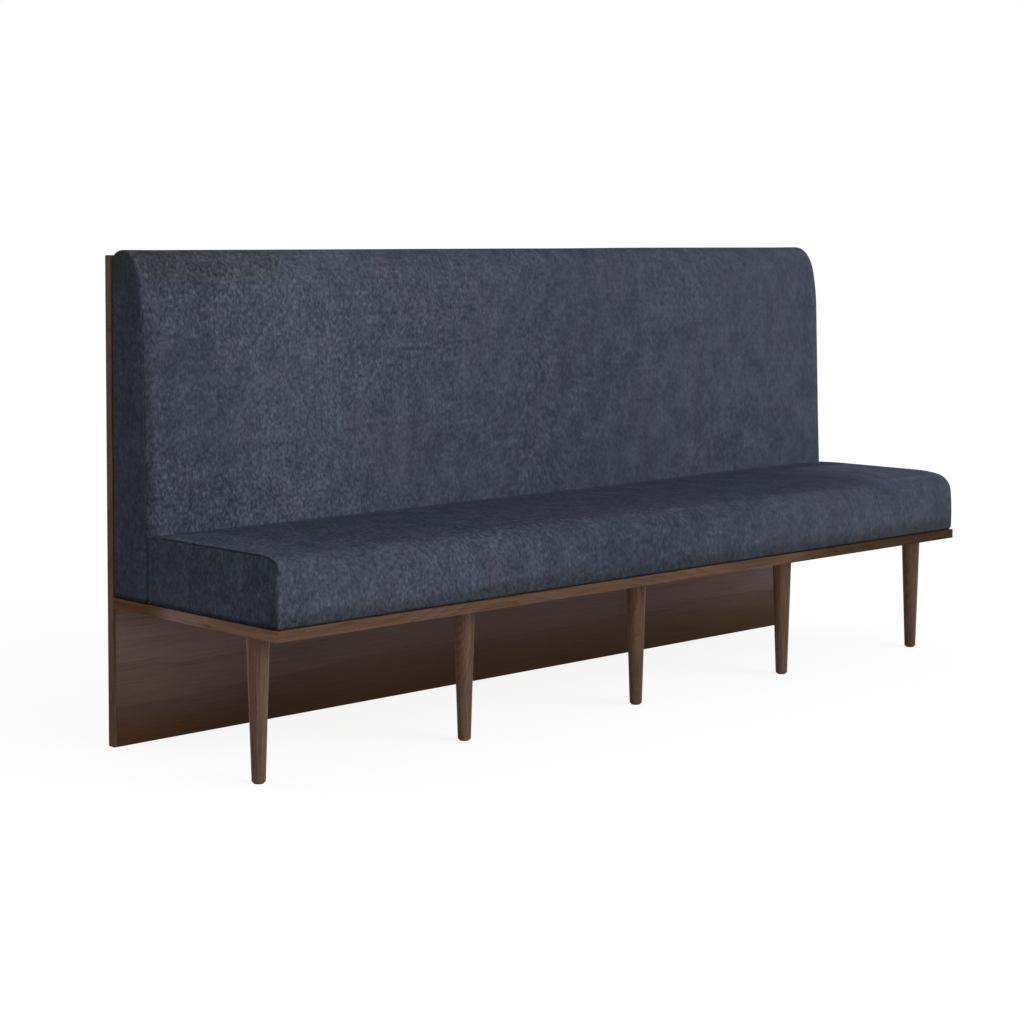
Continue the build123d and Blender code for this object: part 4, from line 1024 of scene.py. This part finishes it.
def screw_rings(size, length, flat_head):
    """Rings of a cross-recessed screw that points along +Z from its head at zero. The recess outline
    is the larger of two crossed slots: radius = min(arm / |cos a|, width / |sin a|) and the same turned,
    and a pan head falls off outwards by a power of the share past its flat middle."""
    head, head_height, shank = size
    angle = (np.arange(SCREW_SIDES) + 0.5) * TAU / SCREW_SIDES
    c, s = np.abs(np.cos(angle)), np.abs(np.sin(angle))
    across = np.minimum(RECESS_ARM / c, RECESS_WIDTH / s)
    upright = np.minimum(RECESS_ARM / s, RECESS_WIDTH / c)
    recess = np.minimum(np.maximum(across, upright), RECESS_ARM) * head
    pan = 0.0 if flat_head else PAN_SHARE * head_height
    rings = [(recess * share, RECESS_DEPTH * depth) for share, depth in RECESS_RINGS]
    rings.append((recess, pan * RECESS_RIM_SHARE))
    for share in PAN_SHARES:
        rings.append((head * share, pan * (PAN_SHARE + PAN_FALL * (share - PAN_FULL) ** PAN_POWER)))
    rings.append((head, head_height * (FLAT_RIM_SHARE if flat_head else PAN_RIM_SHARE)))
    rings.append((shank, head_height))
    steps = THREAD_TURNS * 2
    for step in range(steps):
        height = mix(head_height, length * THREAD_SHARE, step / steps) + THREAD_START
        rings.append((shank * (THREAD_ROOT if step % 2 else 1.0), height))
    rings.append((shank * POINT_SHARE, length))
    round_about = np.stack([np.cos(angle), np.sin(angle)])
    return np.array([np.stack([*(radius * round_about), np.full(SCREW_SIDES, height)], -1)
                     for radius, height in rings])


def screw(low, high, axis, size, flat_head=False):
    """Screw in a solid's place, with its head at the low end of the axis."""
    rings = screw_rings(size, high[axis] - low[axis], flat_head)
    if axis == Y:
        rings = rings[..., [0, 2, 1]] * (-1, 1, 1)
    centre = (low + high) / 2
    centre[axis] = low[axis]
    return rings + centre


# Radius and height of the head, and radius of the shank
DECK_SCREW = (0.0055, 0.003, 0.0025)
CLEAT_SCREW = (0.005, 0.003, 0.0025)
PLATE_SCREW = (0.004, 0.002, 0.002)
SCREW_EDGE = math.radians(35)


# Boards, legs and glides

EASE_ANGLES = np.radians([45, 22.5, 0])


def rounded_box(low, high, ease):
    """Points and faces of a closed box with rounded edges: a point Q of the sharp box moves to
    R + ease * (Q - R) / |Q - R|, where R is the nearest point of the box shrunk by ease. The rows of
    Q near an edge lie at tangents of equal angles, so that each edge is an even quarter round."""
    steps = ease * (1 - np.tan(EASE_ANGLES))
    rows = [np.concatenate([low[i] + steps, high[i] - steps[::-1]]) for i in range(3)]
    lattice = np.stack(np.meshgrid(*rows, indexing="ij"), -1)
    count = len(rows[0])
    place = np.indices(lattice.shape[:3])
    shell = ((place == 0) | (place == count - 1)).any(0)
    number = np.full(shell.shape, -1)
    number[shell] = np.arange(shell.sum())
    sharp = lattice[shell]
    inner = np.clip(sharp, low + ease, high - ease)
    away = sharp - inner
    points = inner + ease * away / np.linalg.norm(away, axis=-1, keepdims=True)
    faces = []
    for axis in range(3):
        for side, flip in ((0, True), (count - 1, False)):
            sheet = np.take(number, side, axis)
            quads = np.stack([sheet[:-1, :-1], sheet[1:, :-1], sheet[1:, 1:], sheet[:-1, 1:]], -1)
            quads = quads.reshape(-1, 4)
            faces += (quads[:, ::-1] if flip == (axis != 1) else quads).tolist()
    return points, faces


def mitre(points, along, low_end, high_end, depth):
    """Slants the ends of a strip: each end draws back by the depth of a point behind the outer face."""
    middle = (points[:, along].min() + points[:, along].max()) / 2
    at_high = points[:, along] > middle
    points[at_high & high_end, along] -= depth[at_high & high_end]
    points[~at_high & low_end, along] += depth[~at_high & low_end]
    return points


def board(name, cad_node, finish, ease, along=X, outer=None, mitres=(False, False)):
    """Board or strip in the place of a CAD node. Outer is the axis and side of its outer face, from
    which a mitred end draws back."""
    low, high = limits(cad_node)
    points, faces = rounded_box(low, high, ease)
    if outer:
        axis, side = outer
        depth = points[:, axis] - low[axis] if side < 0 else high[axis] - points[:, axis]
        points = mitre(points, along, *mitres, depth)
    made = make_mesh(name, points, faces, smooth=False)
    slot = "walnut_veneer" if finish == "veneer" else "walnut_solid"
    return finish_piece(made, FINISH[finish], slot, cad_node)


def turned(name, profile, centre, sides, edge):
    """Solid of revolution: each pair of the profile is a radius and a height, carried round the
    vertical through the centre, and the first and last rings are closed flat. Edges that turn by more
    than the given angle stay sharp."""
    angle = np.arange(sides) * TAU / sides
    radius, height = np.array(profile, float).T
    flat = radius[:, None, None] * np.stack([np.cos(angle), np.sin(angle)], -1)
    upright = np.broadcast_to(height[:, None, None], (*flat.shape[:2], 1))
    made = make_grids(name, [np.concatenate([flat, upright], -1) + np.array([*centre, 0.0])])
    made.data.set_sharp_from_angle(angle=edge)
    return made


def quarter(centre, radius, start, end, steps):
    """Pairs of radius and height along an arc between two angles in degrees."""
    angle = np.radians(np.linspace(start, end, steps))
    return [(centre[0] + radius * math.cos(a), centre[1] + radius * math.sin(a)) for a in angle]


LOWER_QUARTER = (270, 360, 6)
LEG_COUNT = 5
LEG_SIDES = 96
LEG_TOP_RADIUS = 0.024
LEG_FOOT_RADIUS = 0.0146
LEG_POLE_RADIUS = 0.004
LEG_TOP_EASE = 0.0006
LEG_TOP_TAPER = 0.00002
LEG_FOOT_EASE = 0.002
LEG_RING_SHARES = np.linspace(0.06, 0.94, 9)
LEG_EDGE = math.radians(28)
GLIDE_SIDES = 48
GLIDE_RADIUS = 0.011
GLIDE_ROUND = 0.0009
GLIDE_CENTRE = ((0.0012, 0.0008), (0.0035, 0.0008), (0.0042, 0.0001), (0.005, 0.0))
GLIDE_UPPER_ROUND = (0, 80, 5)
GLIDE_EDGE = math.radians(40)
NAIL_RADIUS = 0.0016
NAIL_POINT_RADIUS = 0.0002
NAIL_POINT_LENGTH = 0.003


def leg(name):
    """Straight tapered leg with a softened foot and a crisp top."""
    low, high = limits(name)
    foot, top = low[Z], high[Z]
    profile = [(LEG_POLE_RADIUS, foot)]
    corner = (LEG_FOOT_RADIUS - LEG_FOOT_EASE, foot + LEG_FOOT_EASE)
    profile += quarter(corner, LEG_FOOT_EASE, *LOWER_QUARTER)
    for share in LEG_RING_SHARES:
        profile.append((mix(LEG_FOOT_RADIUS, LEG_TOP_RADIUS, share), mix(foot + LEG_FOOT_EASE, top, share)))
    profile += [(LEG_TOP_RADIUS - LEG_TOP_TAPER, top - LEG_TOP_EASE), (LEG_TOP_RADIUS - LEG_TOP_EASE, top)]
    profile.append((LEG_POLE_RADIUS, top))
    made = turned("turned_" + name, profile, (low[:2] + high[:2]) / 2, LEG_SIDES, LEG_EDGE)
    return finish_piece(made, FINISH["leg"], "walnut_solid", name)


def glide(name, foot):
    """Moulded glide under a leg's foot: a disc with a rounded rim, a sunk centre and its nail's shank."""
    low, high = limits(name)
    rim = GLIDE_RADIUS - GLIDE_ROUND
    profile = list(GLIDE_CENTRE) + quarter((rim, GLIDE_ROUND), GLIDE_ROUND, *LOWER_QUARTER)
    profile += quarter((rim, foot - GLIDE_ROUND), GLIDE_ROUND, *GLIDE_UPPER_ROUND)
    profile += [(NAIL_RADIUS, foot), (NAIL_RADIUS, high[Z] - NAIL_POINT_LENGTH), (NAIL_POINT_RADIUS, high[Z])]
    made = turned("moulded_" + name, profile, (low[:2] + high[:2]) / 2, GLIDE_SIDES, GLIDE_EDGE)
    return finish_piece(made, FINISH["nylon"], "nylon_glide", name)


# Straps, wood, glides and screws in their places, and the finish of the CAD nodes that stay

for name, cad_node, along, across, face, way in (("seat_straps", "seat_webbing", Y, X, Z, 1.0),
                                                 ("back_straps", "back_webbing", X, Z, Y, -1.0)):
    bands = [strap(low, high, along, across, face, way) for low, high in solids(cad_node)]
    finish_piece(make_grids(name, bands), FINISH["webbing"], "elastic_webbing", cad_node)

ARRIS = 0.0008
JOINT = 0.0002
CLEAT_ARRIS = 0.0015
ENDS = (("left", -1), ("right", 1))
board("panel_board", "back_panel", "veneer", JOINT)
board("panel_lipping_top", "back_panel_edge_top", "strip_x", ARRIS, X, (Z, 1), (True, True))
for end, side in ENDS:
    board("panel_lipping_" + end, "back_panel_edge_" + end, "strip_z", ARRIS, Z, (X, side), (False, True))
board("deck_board", "seat_deck", "veneer", JOINT)
board("deck_lipping_front", "deck_edge_front", "rail_x", ARRIS, X, (Y, -1), (True, True))
for end, side in ENDS:
    board("deck_lipping_" + end, "deck_edge_" + end, "rail_y", ARRIS, Y, (X, side), (True, False))
board("cleat_board", "deck_cleat", "strip_x", CLEAT_ARRIS)
for number in range(1, LEG_COUNT + 1):
    leg("leg_%d" % number)
    glide("leg_glide_%d" % number, limits("leg_%d" % number)[0][Z])

for name, cad_node, axis, size, flat_head in (
        ("deck_to_seat_screws", "seat_screws", Z, DECK_SCREW, False),
        ("deck_to_back_screws", "back_screws", Z, DECK_SCREW, False),
        ("cleat_to_deck_screws", "cleat_deck_screws", Z, CLEAT_SCREW, False),
        ("cleat_to_panel_screws", "cleat_panel_screws", Y, CLEAT_SCREW, False),
        ("plate_screws", "leg_plate_screws", Z, PLATE_SCREW, True)):
    made = make_grids(name, [screw(low, high, axis, size, flat_head) for low, high in solids(cad_node)])
    made.data.set_sharp_from_angle(angle=SCREW_EDGE)
    finish_piece(made, FINISH["zinc"], "zinc_steel", cad_node)

CAD_FINISH = {
    "hardwood": ("seat_rail", "seat_cross", "seat_corner", "back_rail", "back_upright"),
    "zinc": ("leg_plates", "leg_hanger", "clip_screws"),
    "aluminium": ("frame_clips", "panel_clips"),
    "lining": ("seat_lining",),
}
for finish, starts in CAD_FINISH.items():
    for name, piece in NODES.items():
        if name.startswith(starts):
            piece.data.materials.clear()
            piece.data.materials.append(FINISH[finish])


# Floor, light and camera

FLOOR_SIZE = 60.0
FLOOR_COLOUR = 0.8
FLOOR_GLOW = 0.875
FLOOR_KEPT = 0.30
WHITE = (1.0, 1.0, 1.0, 1.0)
AMBIENT = 0.41
KEY_FROM = (0.40, -0.87, 0.29)
KEY_STRENGTH = 2.0
KEY_SOFTNESS = 50.0
CAMERA_PLACE = (-3.7845, -3.7570, 1.0958)
CAMERA_YAW = 43.578
CAMERA_PITCH = 2.491
CAMERA_SHIFT = -0.17
SENSOR = 36.0
FOCAL_PIXELS = 2211.6
FRAME_PIXELS = 1024


def camera():
    """Camera at the photograph's place, with part of its rise of view as shift."""
    data = bpy.data.cameras.new("camera")
    data.sensor_width = SENSOR
    data.lens = SENSOR * FOCAL_PIXELS / FRAME_PIXELS
    data.shift_y = CAMERA_SHIFT
    made = add_object("camera", data)
    made.location = CAMERA_PLACE
    made.rotation_euler = (math.radians(90 - CAMERA_PITCH), 0, math.radians(-CAMERA_YAW))
    bpy.context.scene.camera = made


def empty_tree(owner):
    """Node tree of a world or a material, with nothing in it."""
    owner.use_nodes = True
    owner.node_tree.nodes.clear()
    return owner.node_tree


def seen_by_lens(tree):
    """One where a ray comes straight from the camera, a mirror or glass."""
    path = node(tree, "LightPath").outputs
    seen = figures(tree, "MAXIMUM", path["Is Camera Ray"], path["Is Glossy Ray"])
    return figures(tree, "MAXIMUM", seen, path["Is Transmission Ray"])


def world():
    """Plain soft light from all round, white to the camera and in reflections."""
    bpy.context.scene.world = bpy.data.worlds.new("studio")
    tree = empty_tree(bpy.context.scene.world)
    even = node(tree, "Background", {"Color": WHITE, "Strength": AMBIENT}).outputs[0]
    white = node(tree, "Background", {"Color": WHITE, "Strength": 1.0}).outputs[0]
    both = node(tree, "MixShader", {0: seen_by_lens(tree), 1: even, 2: white}).outputs[0]
    node(tree, "OutputWorld", {0: both})


def floor():
    """Pale floor: white to the camera, apart from the object's soft shadow."""
    corners = [(FLOOR_SIZE * x, FLOOR_SIZE * y, 0) for x, y in ((-1, -1), (1, -1), (1, 1), (-1, 1))]
    made = make_mesh("floor", corners, [(0, 1, 2, 3)])
    finish = bpy.data.materials.new("floor")
    tree = empty_tree(finish)
    pale = node(tree, "BsdfDiffuse", {"Color": (*grey(FLOOR_COLOUR), 1.0)}).outputs[0]
    glow = node(tree, "Emission", {"Color": WHITE, "Strength": FLOOR_GLOW}).outputs[0]
    dim = node(tree, "BsdfDiffuse", {"Color": (*grey(FLOOR_COLOUR * FLOOR_KEPT), 1.0)}).outputs[0]
    shown = node(tree, "AddShader", {0: dim, 1: glow}).outputs[0]
    both = node(tree, "MixShader", {0: seen_by_lens(tree), 1: pale, 2: shown}).outputs[0]
    node(tree, "OutputMaterial", {0: both})
    made.data.materials.append(finish)


def key_light():
    """Broad soft light from the right of the camera, the same over the whole floor."""
    data = bpy.data.lights.new("key", "SUN")
    data.energy = KEY_STRENGTH
    data.angle = math.radians(KEY_SOFTNESS)
    add_object("key", data).rotation_euler = Vector(KEY_FROM).to_track_quat("Z", "Y").to_euler()


camera()
world()
floor()
key_light()
bpy.context.scene.view_settings.view_transform = "Standard"
